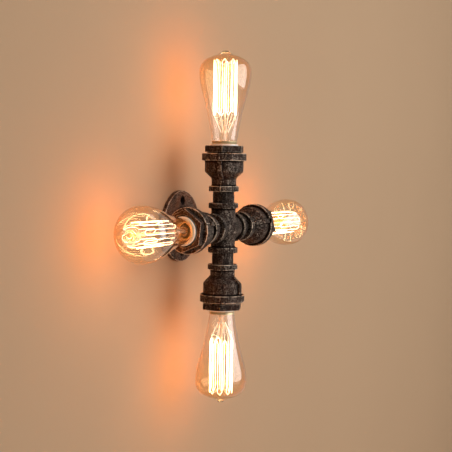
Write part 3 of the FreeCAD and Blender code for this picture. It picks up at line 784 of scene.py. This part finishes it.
class LAMP_OT_cross(bpy.types.Operator):
    """Five-way cross blended from its outlets and beads"""

    bl_idname = "lamp.cross"
    bl_label = "Five-way cross"

    OUTLETS = ARMS + ("rear",)
    TUBE, TUBE_INSET, CORE = 14.8, 0.5, 17.4
    BEAD, BEAD_LENGTH, BEAD_BLEND, BEAD_EASE = 18.2, 6.6, 1.6, 1.2
    VOXEL = 0.85
    FIT_ROUNDS, FIT_STEP, LONGEST_FIT, LEAST_SLOPE = 8, 0.02, 0.6, 0.2
    SEED = 2.0

    @staticmethod
    def soft_union(first, second, width):
        share = np.maximum(width - np.abs(first - second), 0.0) / width
        return np.minimum(first, second) - share ** 2 * width / 4

    def distance(self, points, sizes, reach):
        """Signed distance in millimetres to the blended outside of the cross."""
        square = (points ** 2).sum(1)
        total = np.sqrt(square) - self.CORE
        beads = np.full(len(points), 1e3)
        ease = sizes.ease * self.BEAD_EASE
        middle = reach - self.BEAD_LENGTH / 2
        for arm in self.OUTLETS:
            along = points @ np.array(outward(arm))
            around = np.sqrt(np.maximum(square - along ** 2, 1e-9))
            tube = np.maximum(around - self.TUBE, np.maximum(along - reach + self.TUBE_INSET, -along))
            total = self.soft_union(total, tube, sizes.blend)
            wide = around - self.BEAD + ease
            long = np.abs(along - middle) - self.BEAD_LENGTH / 2 + ease
            outer = np.sqrt(np.maximum(wide, 0) ** 2 + np.maximum(long, 0) ** 2)
            beads = np.minimum(beads, outer + np.minimum(np.maximum(wide, long), 0) - ease)
        return self.soft_union(total, beads, self.BEAD_BLEND)

    def rough_shape(self, name, reach):
        """Ball and cylinders under one voxel skin."""
        shape = bmesh.new()
        bmesh.ops.create_icosphere(shape, subdivisions=4, radius=self.CORE * MM)
        for arm in self.OUTLETS:
            out = outward(arm)
            turn = out.to_track_quat("Z", "Y").to_matrix().to_4x4()
            for radius, low in ((self.TUBE, 0.0), (self.BEAD, reach - self.BEAD_LENGTH)):
                shift = Matrix.Translation(out * (low + reach) / 2 * MM)
                bmesh.ops.create_cone(
                    shape, cap_ends=True, segments=72, radius1=radius * MM, radius2=radius * MM,
                    depth=(reach - low) * MM, matrix=shift @ turn)
        mesh = bpy.data.meshes.new(name)
        shape.to_mesh(mesh)
        shape.free()
        piece = add_object(name, mesh)
        skin = piece.modifiers.new("skin", "REMESH")
        skin.mode = "VOXEL"
        skin.voxel_size = self.VOXEL * MM
        bake(piece)
        piece.data.name = name
        return piece

    def execute(self, context):
        sizes = context.scene.lamp_sizes
        reach = stations("five_way_cross", "top")[1]
        piece = self.rough_shape("five_way_cross_cast", reach)
        points, _, edges = mesh_arrays(piece.data)
        points /= MM
        for _ in range(self.FIT_ROUNDS):
            gap = self.distance(points, sizes, reach)
            slope = np.empty_like(points)
            for axis, step in enumerate(np.eye(3) * self.FIT_STEP):
                rise = self.distance(points + step, sizes, reach) - self.distance(points - step, sizes, reach)
                slope[:, axis] = rise / (2 * self.FIT_STEP)
            slope /= np.maximum(np.sqrt((slope ** 2).sum(1)), self.LEAST_SLOPE)[:, None]
            points -= slope * np.clip(gap, -self.LONGEST_FIT, self.LONGEST_FIT)[:, None]
            even = np.stack([spread(points[:, axis], edges, 1) for axis in range(3)], axis=1)
            drift = even - points
            points += drift - slope * (drift * slope).sum(1)[:, None]
        move_points(piece.data, points * MM + np.array(CENTRE))
        place_piece(piece, "cast_iron", ROOT, "five_way_cross")
        cast_skin(piece, "top", self.SEED, sizes.relief)
        return {"FINISHED"}


class LAMP_OT_nipples(bpy.types.Operator):
    """Pipe nipples with the run-out of their threads at each fitting"""

    bl_idname = "lamp.nipples"
    bl_label = "Pipe nipples"

    PITCH, THREAD = 1.814, 0.55
    SHOWN, FULL_DEPTH = 3.6, 1.2
    GRIP = 13.0
    BORE, EASE, SKIN = 10.2, 0.8, 0.1
    SEGMENTS, SPACING = 112, 0.45
    RELIEF, SEED = 0.05, 10.0

    def execute(self, context):
        names = [(arm, arm + "_nipple") for arm in ARMS] + [("rear", "stem_nipple")]
        for i, (arm, node) in enumerate(names):
            start, end = stations(node, arm)
            radius = node_radius(node, arm)
            corners = [
                (self.BORE, start, 0.0), (radius, start, self.EASE), (radius, end, self.EASE),
                (self.BORE, end, 0.0)]
            shown = (start + self.GRIP, end - self.GRIP)

            def warp(theta, around, along):
                """Cut the last turns of a thread that fades out."""
                inset = np.minimum(np.abs(along - shown[0]), np.abs(along - shown[1]))
                fade = np.clip(self.FULL_DEPTH - inset / self.SHOWN, 0.0, 1.0) * (around > radius - self.SKIN)
                wave = np.abs(((along / self.PITCH - theta / TURN) % 1.0) - 0.5) * 2
                return around - self.THREAD * fade * wave, along

            profile = divided(rounded(corners), self.SPACING)
            piece = turned(node, "_pipe", arm, profile, "pipe_iron", self.SEGMENTS, warp)
            cast_skin(piece, arm, self.SEED + i, self.RELIEF)
        return {"FINISHED"}


class LAMP_OT_reducers(bpy.types.Operator):
    """Cast bell reducers with a bead, a bell, a banded mouth, two ribs and a mould seam"""

    bl_idname = "lamp.reducers"
    bl_label = "Bell reducers"

    BEAD, BEAD_LENGTH = 18.3, 6.6
    NECK, NECK_LENGTH = 15.1, 16.0
    BELL, CONE_LENGTH = 23.6, 8.0
    BAND_LENGTH = 9.0
    MOUTH, MOUTH_FLOOR, PIPE_STOP = 20.95, 2.0, 1.0
    RIB_HALF, SEAM_HALF, FLANK = 2.5, 0.8, 0.35
    RIB_LEAD, RIB_RAMP, RIB_OVERLAP = 2.0, 1.5, 0.3
    # Room that the ribs and seam leave to the bore, the two ends and the mouth.
    BORE_ROOM, END_ROOM, MOUTH_ROOM = 1.0, 0.2, 0.6
    SEGMENTS, SPACING = 176, 0.9
    SEED = 20.0

    def execute(self, context):
        sizes = context.scene.lamp_sizes
        ease = sizes.ease
        for i, (arm, node, start, end) in enumerate(arm_nodes("reducer")):
            pipe = node_radius(arm + "_nipple", arm)
            band = node_radius(node, arm)
            bead_end = start + self.BEAD_LENGTH
            neck_end = start + self.NECK_LENGTH
            bell = neck_end + self.CONE_LENGTH
            band_start = end - self.BAND_LENGTH
            corners = [
                (pipe, start, 0.3), (self.BEAD, start, ease), (self.BEAD, bead_end, ease),
                (self.NECK, bead_end, 1.2), (self.NECK, neck_end, 5.0),
                (self.BELL, bell, 4.0), (self.BELL, band_start, 0.9),
                (band, band_start, ease), (band, end, ease),
                (self.MOUTH, end, 0.5), (self.MOUTH, bell + self.MOUTH_FLOOR, 0.5),
                (pipe, neck_end - self.PIPE_STOP, 0.5),
            ]
            seam = math.radians(REDUCER_TURN[arm])

            def warp(theta, around, along):
                """Raise a rib on the cone and bell, and a seam line on the bead, neck and band."""
                off = np.abs((theta - seam + math.pi / 2) % math.pi - math.pi / 2) * around
                on_rib = np.clip((along - neck_end + self.RIB_LEAD) / self.RIB_RAMP, 0.0, 1.0)
                on_rib *= along < band_start + self.RIB_OVERLAP
                half = self.SEAM_HALF + (self.RIB_HALF - self.SEAM_HALF) * on_rib
                lift = np.clip((half + self.FLANK - off) / (2 * self.FLANK), 0.0, 1.0)
                height = sizes.seam_height + (sizes.rib_height - sizes.seam_height) * on_rib
                skin = (around > pipe + self.BORE_ROOM)
                skin &= (along > start + self.END_ROOM) & (along < end - self.END_ROOM)
                skin &= ~((along > bell) & (around < self.MOUTH + self.MOUTH_ROOM))
                return around + height * lift * skin, along

            flanks = []
            for half in (self.SEAM_HALF, self.RIB_HALF):
                for edge in (half - self.FLANK, half + self.FLANK):
                    for side in (edge / self.BELL, -edge / self.BELL):
                        flanks += [seam + side, seam + side + math.pi]
            profile = divided(rounded(corners), self.SPACING)
            piece = turned(node, "_cast", arm, profile, "cast_iron", self.SEGMENTS, warp, extra=flanks)
            cast_skin(piece, arm, self.SEED + i, sizes.relief)
        return {"FINISHED"}


class LAMP_OT_bushings(bpy.types.Operator):
    """Hex bushings with bevelled edges and a round shank below the head"""

    bl_idname = "lamp.bushings"
    bl_label = "Hex bushings"

    SIDES = 6
    HEAD, FLATS, BEVEL = 8.0, 22.25, 0.7
    SHANK, BORE = 20.7, 18.8
    # Turns from a corner, in radians, at which more points keep it crisp.
    CORNER_CUTS = (-0.018, -0.009, 0.009, 0.018)
    HEAD_BELOW, HEAD_ABOVE, SHANK_ROOM = 0.05, 0.3, 0.1
    SEGMENTS, SPACING = 180, 0.6
    RELIEF, SEED = 0.08, 30.0

    def execute(self, context):
        half = math.pi / self.SIDES
        outer = self.FLATS / math.cos(half)
        for i, (arm, node, start, end) in enumerate(arm_nodes("bushing")):
            head = end - self.HEAD
            first = math.radians(BUSHING_TURN[arm]) + math.pi / 2
            corners = [
                (self.BORE, start, 0.3), (self.SHANK, start, 0.5), (self.SHANK, head, 0.3),
                (outer, head, self.BEVEL), (outer, end, self.BEVEL), (self.BORE, end, 0.5)]

            def warp(theta, around, along):
                """Pull the round head in to a hexagon."""
                side = (theta - first + half) % (2 * half) - half
                reach = self.FLATS / np.cos(half - np.abs(side))
                share = np.clip((around - self.BORE) / (outer - self.BORE), 0.0, 1.0)
                is_head = (along > head - self.HEAD_BELOW) & (around > self.SHANK + self.SHANK_ROOM)
                is_head |= along > head + self.HEAD_ABOVE
                return np.where(is_head, self.BORE + share * (reach - self.BORE), around), along

            cuts = [first + k * 2 * half + cut for k in range(self.SIDES) for cut in self.CORNER_CUTS]
            profile = divided(rounded(corners), self.SPACING)
            piece = turned(node, "_cast", arm, profile, "cast_iron", self.SEGMENTS, warp, extra=cuts)
            cast_skin(piece, arm, self.SEED + i, self.RELIEF)
            piece.data.materials[0] = finish("hex_iron")
        return {"FINISHED"}


class LAMP_OT_holders(bpy.types.Operator):
    """Glazed porcelain lampholders with a rolled rim"""

    bl_idname = "lamp.holders"
    bl_label = "Porcelain lampholders"

    SHOULDER, BARREL = 20.4, 17.1
    BASE, BASE_LENGTH = 14.5, 7.0
    BORE, STEP, PIN = 14.02, 10.6, 1.5
    FLOOR_DROP, STEP_RISE = 2.0, 2.5
    LIP, LIP_DEPTH = 0.6, 0.8
    SEGMENTS, SPACING = 112, 1.2

    def execute(self, context):
        for arm, node, start, end in arm_nodes("holder"):
            clamp = stations(arm + "_bushing", arm)[0]
            ledge = start + self.BASE_LENGTH
            floor, step = ledge - self.FLOOR_DROP, ledge + self.STEP_RISE
            corners = [
                (self.PIN, start, 0.0), (self.BASE, start, 0.8), (self.BASE, ledge, 0.4),
                (self.SHOULDER, ledge, 0.8), (self.SHOULDER, clamp, 0.6), (self.BARREL, clamp, 0.4),
                (self.BARREL, end, 2.0), (self.BORE + self.LIP, end, 0.4),
                (self.BORE, end - self.LIP_DEPTH, 0.3),
                (self.BORE, step, 0.0), (self.STEP, step, 0.3), (self.STEP, floor, 0.5),
                (self.PIN, floor, 0.0),
            ]
            profile = divided(rounded(corners), self.SPACING)
            piece = turned(node, "_glazed", arm, profile, "porcelain", self.SEGMENTS)
            smooth_shade(piece, CAST_ANGLE)
        return {"FINISHED"}


class LAMP_OT_caps(bpy.types.Operator):
    """Screw caps with a rolled thread and a flared collar that grips the glass"""

    bl_idname = "lamp.caps"
    bl_label = "Bulb caps"

    DEPTH, WALL = 0.9, 0.45
    FOLD, FOLD_WALL = 11.8, 1.6
    FOOT_INSET, FOOT_RISE, NECK_DROP = 0.9, 1.4, 3.0
    THREAD_START, THREAD_STOP, THREAD_FADE, SKIN = 1.2, 3.4, 2.0, 0.3
    SEGMENTS, SPACING = 96, 0.4
    # Corners of the collar: outward from the skirt, outward from its rim, and ease.
    COLLAR = ((0.0, -0.6, 0.6), (1.9, 2.2, 1.0), (2.65, 4.6, 0.45), (1.75, 4.6, 0.45), (1.5, 2.6, 0.6))

    def execute(self, context):
        pitch = context.scene.lamp_sizes.thread_pitch
        for arm, node, start, end in arm_nodes("bulb_cap"):
            radius = node_radius(node, arm)
            bore = radius - self.WALL
            fold = start + self.FOLD_WALL
            corners = [
                (self.FOLD, start, 0.2), (radius - self.FOOT_INSET, start, 0.6),
                (radius, start + self.FOOT_RISE, 0.8)]
            corners += [(radius + out, end + rise, ease) for out, rise, ease in self.COLLAR]
            corners += [
                (bore, end, 0.0), (bore - self.DEPTH, end - self.NECK_DROP, 0.5),
                (bore - self.DEPTH, fold, 0.3), (self.FOLD, fold, 0.0)]

            def warp(theta, around, along):
                """Roll a right-hand thread into the skirt."""
                inset = np.minimum(along - start - self.THREAD_START, end - self.THREAD_STOP - along)
                fade = np.clip(inset / self.THREAD_FADE, 0.0, 1.0)
                wave = 0.5 - 0.5 * np.cos(TURN * (along / pitch - theta / TURN))
                outside = around > radius - self.SKIN
                return around - self.DEPTH * fade * wave * outside, along

            profile = divided(rounded(corners), self.SPACING)
            piece = turned(node, "_rolled", arm, profile, "cap_brass", self.SEGMENTS, warp, arm + "_bulb")
            smooth_shade(piece, SOFT_ANGLE)
        return {"FINISHED"}


class LAMP_OT_glass(bpy.types.Operator):
    """Blown envelopes with a long taper, a round dome and a sealed tip"""

    bl_idname = "lamp.glass"
    bl_label = "Bulb envelopes"

    WALL = 0.7
    NECK_GAP = 0.45
    GRIP, GRIP_STEPS = 11.5, 6
    TUCK, TUCK_AT = 1.1, 3.0
    SHOULDER, SHOULDER_AT, SHOULDER_CURVE = 15.6, 7.0, 10.0
    WAIST, WAIST_AT, WAIST_CURVE = 27.3, 49.7, 400.0
    BELLY_AT, BELLY_CURVE = 21.5, 88.0
    DOME_SIDE = 17.5
    CURVE_STEPS = (8, 30, 18, 16, 16)
    EASE_ROUNDS = 6
    TIP, TIP_LENGTH = 4.2, 4.0
    SKIRT, NIB_END, NIB_CROWN = 9.2, 4.5, 1.7
    # Foot of the nib: radius as a share of the tip's, and height as a share of its length.
    NIB = ((2.0, 0.01), (1.82, 0.05), (1.64, 0.12), (1.46, 0.22), (1.30, 0.34), (1.17, 0.47))
    CROWN_TURNS = (0.2, 0.5, 0.8, 1.1, 1.35, math.pi / 2)
    SEGMENTS = 128

    def half_profile(self, neck, belly, seat, dome, inset):
        """One face of the glass from its neck to the top of its dome."""
        places = [
            Vector((neck - inset, seat)),
            Vector((self.SHOULDER - inset, seat + self.SHOULDER_AT)),
            Vector((self.WAIST - inset, dome - self.WAIST_AT)),
            Vector((belly - inset, dome - self.BELLY_AT)),
        ]
        side = self.DOME_SIDE - inset
        rise = self.BELLY_AT - inset
        wide = places[3].x - side
        crown = (wide ** 2 + rise ** 2 - side ** 2) / (2 * (rise - side))
        share = crown / (crown - side)
        places.append(Vector((wide * share, places[3].y + rise - crown + (crown - rise) * share)))
        places.append(Vector((0.0, dome - inset)))
        curves = (self.SHOULDER_CURVE, -self.WAIST_CURVE, self.BELLY_CURVE, side, crown)
        points = []
        for k in range(self.GRIP_STEPS, 0, -1):
            down = self.GRIP * k / self.GRIP_STEPS
            tuck = self.TUCK * min(1.0, down / self.TUCK_AT)
            points.append(Vector((neck - tuck - inset, seat - down)))
        for first, second, curve, count in zip(places, places[1:], curves, self.CURVE_STEPS):
            points += arc(first, second, curve, count)
        for _ in range(self.EASE_ROUNDS):
            inner = [(a + b * 2 + c) / 4 for a, b, c in zip(points, points[1:], points[2:])]
            points = points[:1] + inner + points[-1:]
        return points

    def execute(self, context):
        for arm, node, start, end in arm_nodes("bulb_glass"):
            belly = node_radius(node, arm)
            neck = node_radius(arm + "_bulb_cap", arm) - self.NECK_GAP
            seat = start + self.GRIP
            dome = end - self.TIP_LENGTH
            outside, inside = (
                self.half_profile(neck, belly, seat, dome, inset) for inset in (0.0, self.WALL))
            nib = [Vector((self.TIP * wide, dome + (end - dome) * high)) for wide, high in self.NIB]
            crown = [
                Vector((self.NIB_END * math.cos(turn), end - self.NIB_CROWN * (1 - math.sin(turn))))
                for turn in self.CROWN_TURNS]
            profile = [p for p in outside if p.x > self.SKIRT] + nib + crown
            profile += [Vector((0.0, dome - self.WALL))] + inside[::-1]
            piece = turned(node, "_blown", arm, profile, "amber_glass", self.SEGMENTS, body=arm + "_bulb")
            mark_along(piece.data, arm, seat, dome)
            smooth_shade(piece, SOFT_ANGLE)
        return {"FINISHED"}


class LAMP_OT_mounts(bpy.types.Operator):
    """Glass mounts in the bulbs: exhaust tube, sealed cup, flare, press, rod and button"""

    bl_idname = "lamp.mounts"
    bl_label = "Glass mounts"

    TUBE = 2.0
    NECK_GAP = 2.4
    SUNK, FLOOR, LINING, SEAL_LIP = 8.0, 1.0, 0.6, 1.6
    FLARE, FLARE_RISE, FLARE_LENGTH = 6.4, 1.4, 10.0
    PRESS, PRESS_DROP = 4.5, 20.0
    ROD, ROD_DROP = 1.2, 15.0
    BUTTON, BUTTON_NECK, BUTTON_LENGTH, BUTTON_CROWN = 2.2, 6.0, 5.0, 1.0
    # How far the tongs flatten the press, and where: from the flare up and from the cage down, with ramps.
    FLATTENED, FLAT_FROM, FLAT_RAMP, FLAT_TO, FLAT_END = 0.42, 8.0, 3.0, 18.0, 2.0
    # Length over which the rod takes on a painted glow of the cage's light, below and above the cage's foot.
    LIT_BELOW, LIT_ABOVE = 12.0, 8.0
    # Slack round the faces of the seal: below its floor, above its brim and inside the flare.
    SEAL_BELOW, SEAL_ABOVE, SEAL_INSIDE = 0.3, 0.1, 1.0
    SEGMENTS, SPACING = 48, 1.5

    def execute(self, context):
        for arm, node, start, end in arm_nodes("bulb_stem"):
            cage = stations(arm + "_bulb_filament", arm)[0]
            neck = node_radius(arm + "_bulb_cap", arm) - self.NECK_GAP
            brim = stations(arm + "_bulb_cap", arm)[1]
            flare = brim - self.SUNK
            floor, wall = flare - self.FLOOR, neck - self.LINING
            corners = [
                (0.0, start, 0.0), (self.TUBE, start, 0.6), (self.TUBE, floor, 0.5), (neck, floor, 0.2),
                (neck, brim, 0.2), (wall, brim, 0.2), (wall, flare, 0.4), (neck - self.SEAL_LIP, flare, 0.4),
                (self.FLARE, flare + self.FLARE_RISE, 2.0), (self.PRESS, flare + self.FLARE_LENGTH, 3.0),
                (self.PRESS, cage - self.PRESS_DROP, 1.5), (self.ROD, cage - self.ROD_DROP, 1.5),
                (self.ROD, end - self.BUTTON_NECK, 0.6), (self.BUTTON, end - self.BUTTON_LENGTH, 0.8),
                (self.BUTTON, end - self.BUTTON_CROWN, 1.2), (0.0, end, 0.0),
            ]

            def warp(theta, around, along):
                """Flatten the press across one direction, as its tongs leave it."""
                on_press = np.clip((along - flare - self.FLAT_FROM) / self.FLAT_RAMP, 0, 1)
                on_press *= np.clip((cage - self.FLAT_TO - along) / self.FLAT_END, 0, 1)
                return around * (1.0 - self.FLATTENED * on_press * np.sin(theta) ** 2), along

            profile = divided(rounded(corners), self.SPACING, closed=False)
            piece = turned(
                node, "_drawn", arm, profile, "clear_glass", self.SEGMENTS, warp, arm + "_bulb", False)
            mesh = piece.data
            mark_along(mesh, arm, cage - self.LIT_BELOW, cage + self.LIT_ABOVE)
            places = from_frame(arm, mesh_arrays(mesh)[0])
            store(mesh, "rim", np.hypot(places[:, 0], places[:, 1]) / neck)
            mesh.materials.append(finish("seal"))
            for face in mesh.polygons:
                across, up, along = from_frame(arm, np.array(face.center))
                sealed = floor - self.SEAL_BELOW < along < brim + self.SEAL_ABOVE
                face.material_index = int(sealed and math.hypot(across, up) > self.FLARE - self.SEAL_INSIDE)
            smooth_shade(piece, SOFT_ANGLE)
        return {"FINISHED"}


class LAMP_OT_filaments(bpy.types.Operator):
    """Cage filaments: one glowing wire that runs up and down round each bulb's mount"""

    bl_idname = "lamp.filaments"
    bl_label = "Cage filaments"

    WIRE = 0.3
    BEND_STEPS, BEND_RISE, BEND_POINT = 10, 1.5, 1.25
    RUN_STEPS = 14
    WANDER, WANDER_SHIFT = 0.22, 1.7

    def route(self, arm, node, low, high, runs):
        """Points of the wire in the frame."""
        cage = node_radius(node, arm) - self.WIRE
        first = math.radians(CAGE_TURN[arm])
        turns = [first + TURN * k / runs for k in range(runs)]
        spots = [np.array((cage * math.cos(t), cage * math.sin(t))) for t in turns]
        bend = np.linalg.norm(spots[1] - spots[0]) / 2 * self.BEND_RISE
        foot, head = low + self.WIRE + bend, high - self.WIRE - bend
        places = []
        for k, spot in enumerate(spots):
            rising = k % 2 == 0
            ends = (foot, head) if rising else (head, foot)
            for n in range(self.RUN_STEPS):
                share = n / self.RUN_STEPS
                bow = 1.0 + self.WANDER / cage * math.sin(share * TURN + k * self.WANDER_SHIFT)
                places.append((*(spot * bow), ends[0] + share * (ends[1] - ends[0])))
            if k + 1 == runs:
                places.append((*spot, ends[1]))
                break
            middle = (spot + spots[k + 1]) / 2
            side = (spot - spots[k + 1]) / 2
            for n in range(self.BEND_STEPS):
                turn = math.pi * n / self.BEND_STEPS
                lift = bend * (1 - abs(math.cos(turn)) ** self.BEND_POINT) * (1 if rising else -1)
                places.append((*(middle + side * math.cos(turn)), ends[1] + lift))
        across, up, along = np.array(places).T
        return to_frame(arm, np.hypot(across, up), np.arctan2(up, across), along)

    def execute(self, context):
        sizes = context.scene.lamp_sizes
        for arm, node, low, high in arm_nodes("bulb_filament"):
            points = self.route(arm, node, low, high, sizes.runs)
            curve = bpy.data.curves.new(node + "_wire", "CURVE")
            curve.dimensions = "3D"
            curve.bevel_depth = sizes.filament_radius * MM
            curve.bevel_resolution = 2
            curve.use_fill_caps = True
            line = curve.splines.new("POLY")
            line.points.add(len(points) - 1)
            for knot, point in zip(line.points, points):
                knot.co = (*point, 1.0)
            place_piece(add_object(node + "_wire", curve), "filament", arm + "_bulb", node)
        return {"FINISHED"}


class LAMP_OT_fittings(bpy.types.Operator):
    """Finish of the pieces that keep their solid: contacts, shells, screws, leads and hooks"""

    bl_idname = "lamp.fittings"
    bl_label = "Inner fittings"

    def execute(self, context):
        for name, node in frame["nodes"].items():
            node.data.materials.clear()
            node.data.materials.append(finish(NODE_SLOT[name]))
        return {"FINISHED"}


class LAMP_OT_stage(bpy.types.Operator):
    """Pale backdrop and floor, soft studio light, bulb light and the camera"""

    bl_idname = "lamp.stage"
    bl_label = "Stage"

    # Camera: angles in degrees, distance in metres, and places in pixels of a square image.
    AZIMUTH, ELEVATION, ROLL = -62.63, 3.12, 0.88
    DISTANCE = 1.3207
    FOCAL_PIXELS, IMAGE, CROSS_PIXEL = 1075.5, 452.0, (223.15, 227.71)
    SENSOR = 36.0
    WALL_GAP, WALL_SPAN, HIDDEN_EDGE = 0.0004, 6.0, 0.002
    FLOOR_DROP, FLOOR_SPAN = 0.62, 40.0
    RAYS = 64
    AIR, AIR_LIGHT, AIR_SHOWN = (0.88, 0.79, 0.68), 0.21, 0.50
    # Name, place, size, power and colour of each soft light.
    SOFTBOXES = (
        ("key", (0.6, -1.9, 0.55), 2.0, 31.0, (0.98, 0.98, 1.0)),
        ("front", (0.2, -2.4, 0.0), 2.4, 11.0, (1.0, 0.98, 0.95)),
        ("top", (-0.4, -0.9, 1.8), 0.9, 4.0, (1.0, 0.98, 0.95)),
    )
    BULB_LIGHT_RADIUS = 0.012
    UNLIT = ("amber_glass", "clear_glass", "black_glass", "porcelain", "support_wire")

    def plane(self, name, middle, normal, material, span, hole=0.0):
        """Square of the stage that faces along a normal, with a round hole if one is wanted."""
        turn = Vector(normal).to_track_quat("Z", "Y").to_matrix().to_4x4()
        placed = Matrix.Translation(middle) @ turn
        inner, outer = [], []
        for k in range(self.RAYS):
            angle = TURN * k / self.RAYS
            ray = Vector((math.cos(angle), math.sin(angle), 0.0))
            inner.append(placed @ (ray * hole))
            outer.append(placed @ (ray * span / 2 / max(abs(ray.x), abs(ray.y))))
        verts, faces = outer, [tuple(range(self.RAYS))]
        if hole:
            verts, faces = inner + outer, []
            for k in range(self.RAYS):
                n = (k + 1) % self.RAYS
                faces.append((k, self.RAYS + k, self.RAYS + n, n))
        mesh = bpy.data.meshes.new(name)
        mesh.from_pydata(verts, [], faces)
        mesh.materials.append(material)
        add_object(name, mesh)

    def studio(self):
        """World that gives a low even light and shows as a pale background."""
        world = bpy.data.worlds.new("studio")
        s = Shader(world, "ShaderNodeOutputWorld")
        air, shown = (
            s.out("ShaderNodeBackground", None, {"Color": self.AIR, "Strength": strength})
            for strength in (self.AIR_LIGHT, self.AIR_SHOWN))
        s.surface(s.mixed(s.seen(), air, shown))
        bpy.context.scene.world = world

    def softbox(self, name, place, size, power, colour):
        """Square soft light aimed at the cross."""
        data = bpy.data.lights.new(name, "AREA")
        data.size = size
        data.energy = power
        data.color = colour
        light = add_object(name, data)
        light.location = place
        light.rotation_euler = (CENTRE - Vector(place)).to_track_quat("-Z", "Y").to_euler()

    def lit_pieces(self):
        """All pieces that the bulbs' light falls on, which leaves out the glass and the white glaze."""
        lit = bpy.data.collections.new("lit_pieces")
        for piece in bpy.context.scene.objects:
            if piece.type in {"MESH", "CURVE"} and piece.material_slots[0].name not in self.UNLIT:
                lit.objects.link(piece)
        return lit

    def bulb_light(self, arm, low, high, lit):
        """Warm light from the middle of a bulb's cage."""
        scene = bpy.context.scene
        data = bpy.data.lights.new(arm + "_bulb_light", "POINT")
        data.energy = scene.lamp_sizes.bulb_power
        data.color = scene.lamp_colours.lamp
        data.shadow_soft_size = self.BULB_LIGHT_RADIUS
        light = add_object(arm + "_bulb_light", data)
        light.location = CENTRE + outward(arm) * (low + high) / 2 * MM
        light.visible_camera = False
        light.visible_transmission = False
        light.light_linking.receiver_collection = lit
        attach(light, arm + "_bulb")

    def camera(self):
        """Camera at the photograph's angle, with the cross at its place in the frame."""
        turn, rise, roll = (math.radians(a) for a in (self.AZIMUTH, self.ELEVATION, self.ROLL))
        back = Vector((math.sin(turn) * math.cos(rise), -math.cos(turn) * math.cos(rise), math.sin(rise)))
        level = (-back).cross(Vector((0, 0, 1))).normalized()
        upright = level.cross(-back)
        right = level * math.cos(roll) + upright * math.sin(roll)
        up = upright * math.cos(roll) - level * math.sin(roll)
        data = bpy.data.cameras.new("camera")
        data.sensor_width = self.SENSOR
        data.lens = self.FOCAL_PIXELS / self.IMAGE * self.SENSOR
        data.shift_x = (self.IMAGE / 2 - self.CROSS_PIXEL[0]) / self.IMAGE
        data.shift_y = (self.CROSS_PIXEL[1] - self.IMAGE / 2) / self.IMAGE
        camera = add_object("camera", data)
        axes = Matrix((right, up, back)).transposed().to_4x4()
        camera.matrix_world = Matrix.Translation(CENTRE + back * self.DISTANCE) @ axes
        bpy.context.scene.camera = camera

    def execute(self, context):
        colours = context.scene.lamp_colours
        context.scene.view_settings.view_transform = "Standard"
        wall = new_finish("backdrop", stage_finish, colours.wall, True)
        floor = new_finish("floor", stage_finish, colours.floor, False)
        hole = node_radius("wall_flange", "rear") * MM - self.HIDDEN_EDGE
        self.plane("backdrop", Vector((0, self.WALL_GAP, 0)), (0, -1, 0), wall, self.WALL_SPAN, hole)
        self.plane("floor", Vector((0, 0, -self.FLOOR_DROP)), (0, 0, 1), floor, self.FLOOR_SPAN)
        self.studio()
        for softbox in self.SOFTBOXES:
            self.softbox(*softbox)
        lit = self.lit_pieces()
        for arm, _, low, high in arm_nodes("bulb_filament"):
            self.bulb_light(arm, low, high, lit)
        self.camera()
        return {"FINISHED"}


OPERATORS = (
    LAMP_OT_fittings, LAMP_OT_flange, LAMP_OT_cross, LAMP_OT_nipples, LAMP_OT_reducers, LAMP_OT_bushings,
    LAMP_OT_holders, LAMP_OT_caps, LAMP_OT_glass, LAMP_OT_mounts, LAMP_OT_filaments, LAMP_OT_stage,
)


class LAMP_PT_panel(bpy.types.Panel):
    """Lists the lamp's pieces and their sizes and colours"""

    bl_idname = "LAMP_PT_panel"
    bl_label = "Pipe wall lamp"
    bl_space_type = "VIEW_3D"
    bl_region_type = "UI"
    bl_category = "Lamp"

    def draw(self, context):
        for operator in OPERATORS:
            self.layout.operator(operator.bl_idname)
        for group in (context.scene.lamp_sizes, context.scene.lamp_colours):
            for name in group.__annotations__:
                self.layout.prop(group, name)


CLASSES = (LampSizes, LampColours) + OPERATORS + (LAMP_PT_panel,)


def register():
    for cls in CLASSES:
        bpy.utils.register_class(cls)
    bpy.types.Scene.lamp_sizes = PointerProperty(type=LampSizes)
    bpy.types.Scene.lamp_colours = PointerProperty(type=LampColours)


def unregister():
    del bpy.types.Scene.lamp_colours
    del bpy.types.Scene.lamp_sizes
    for cls in reversed(CLASSES):
        bpy.utils.unregister_class(cls)


def main():
    register()
    for operator in OPERATORS:
        group, name = operator.bl_idname.split(".")
        getattr(getattr(bpy.ops, group), name)()


if __name__ == "__main__":
    main()
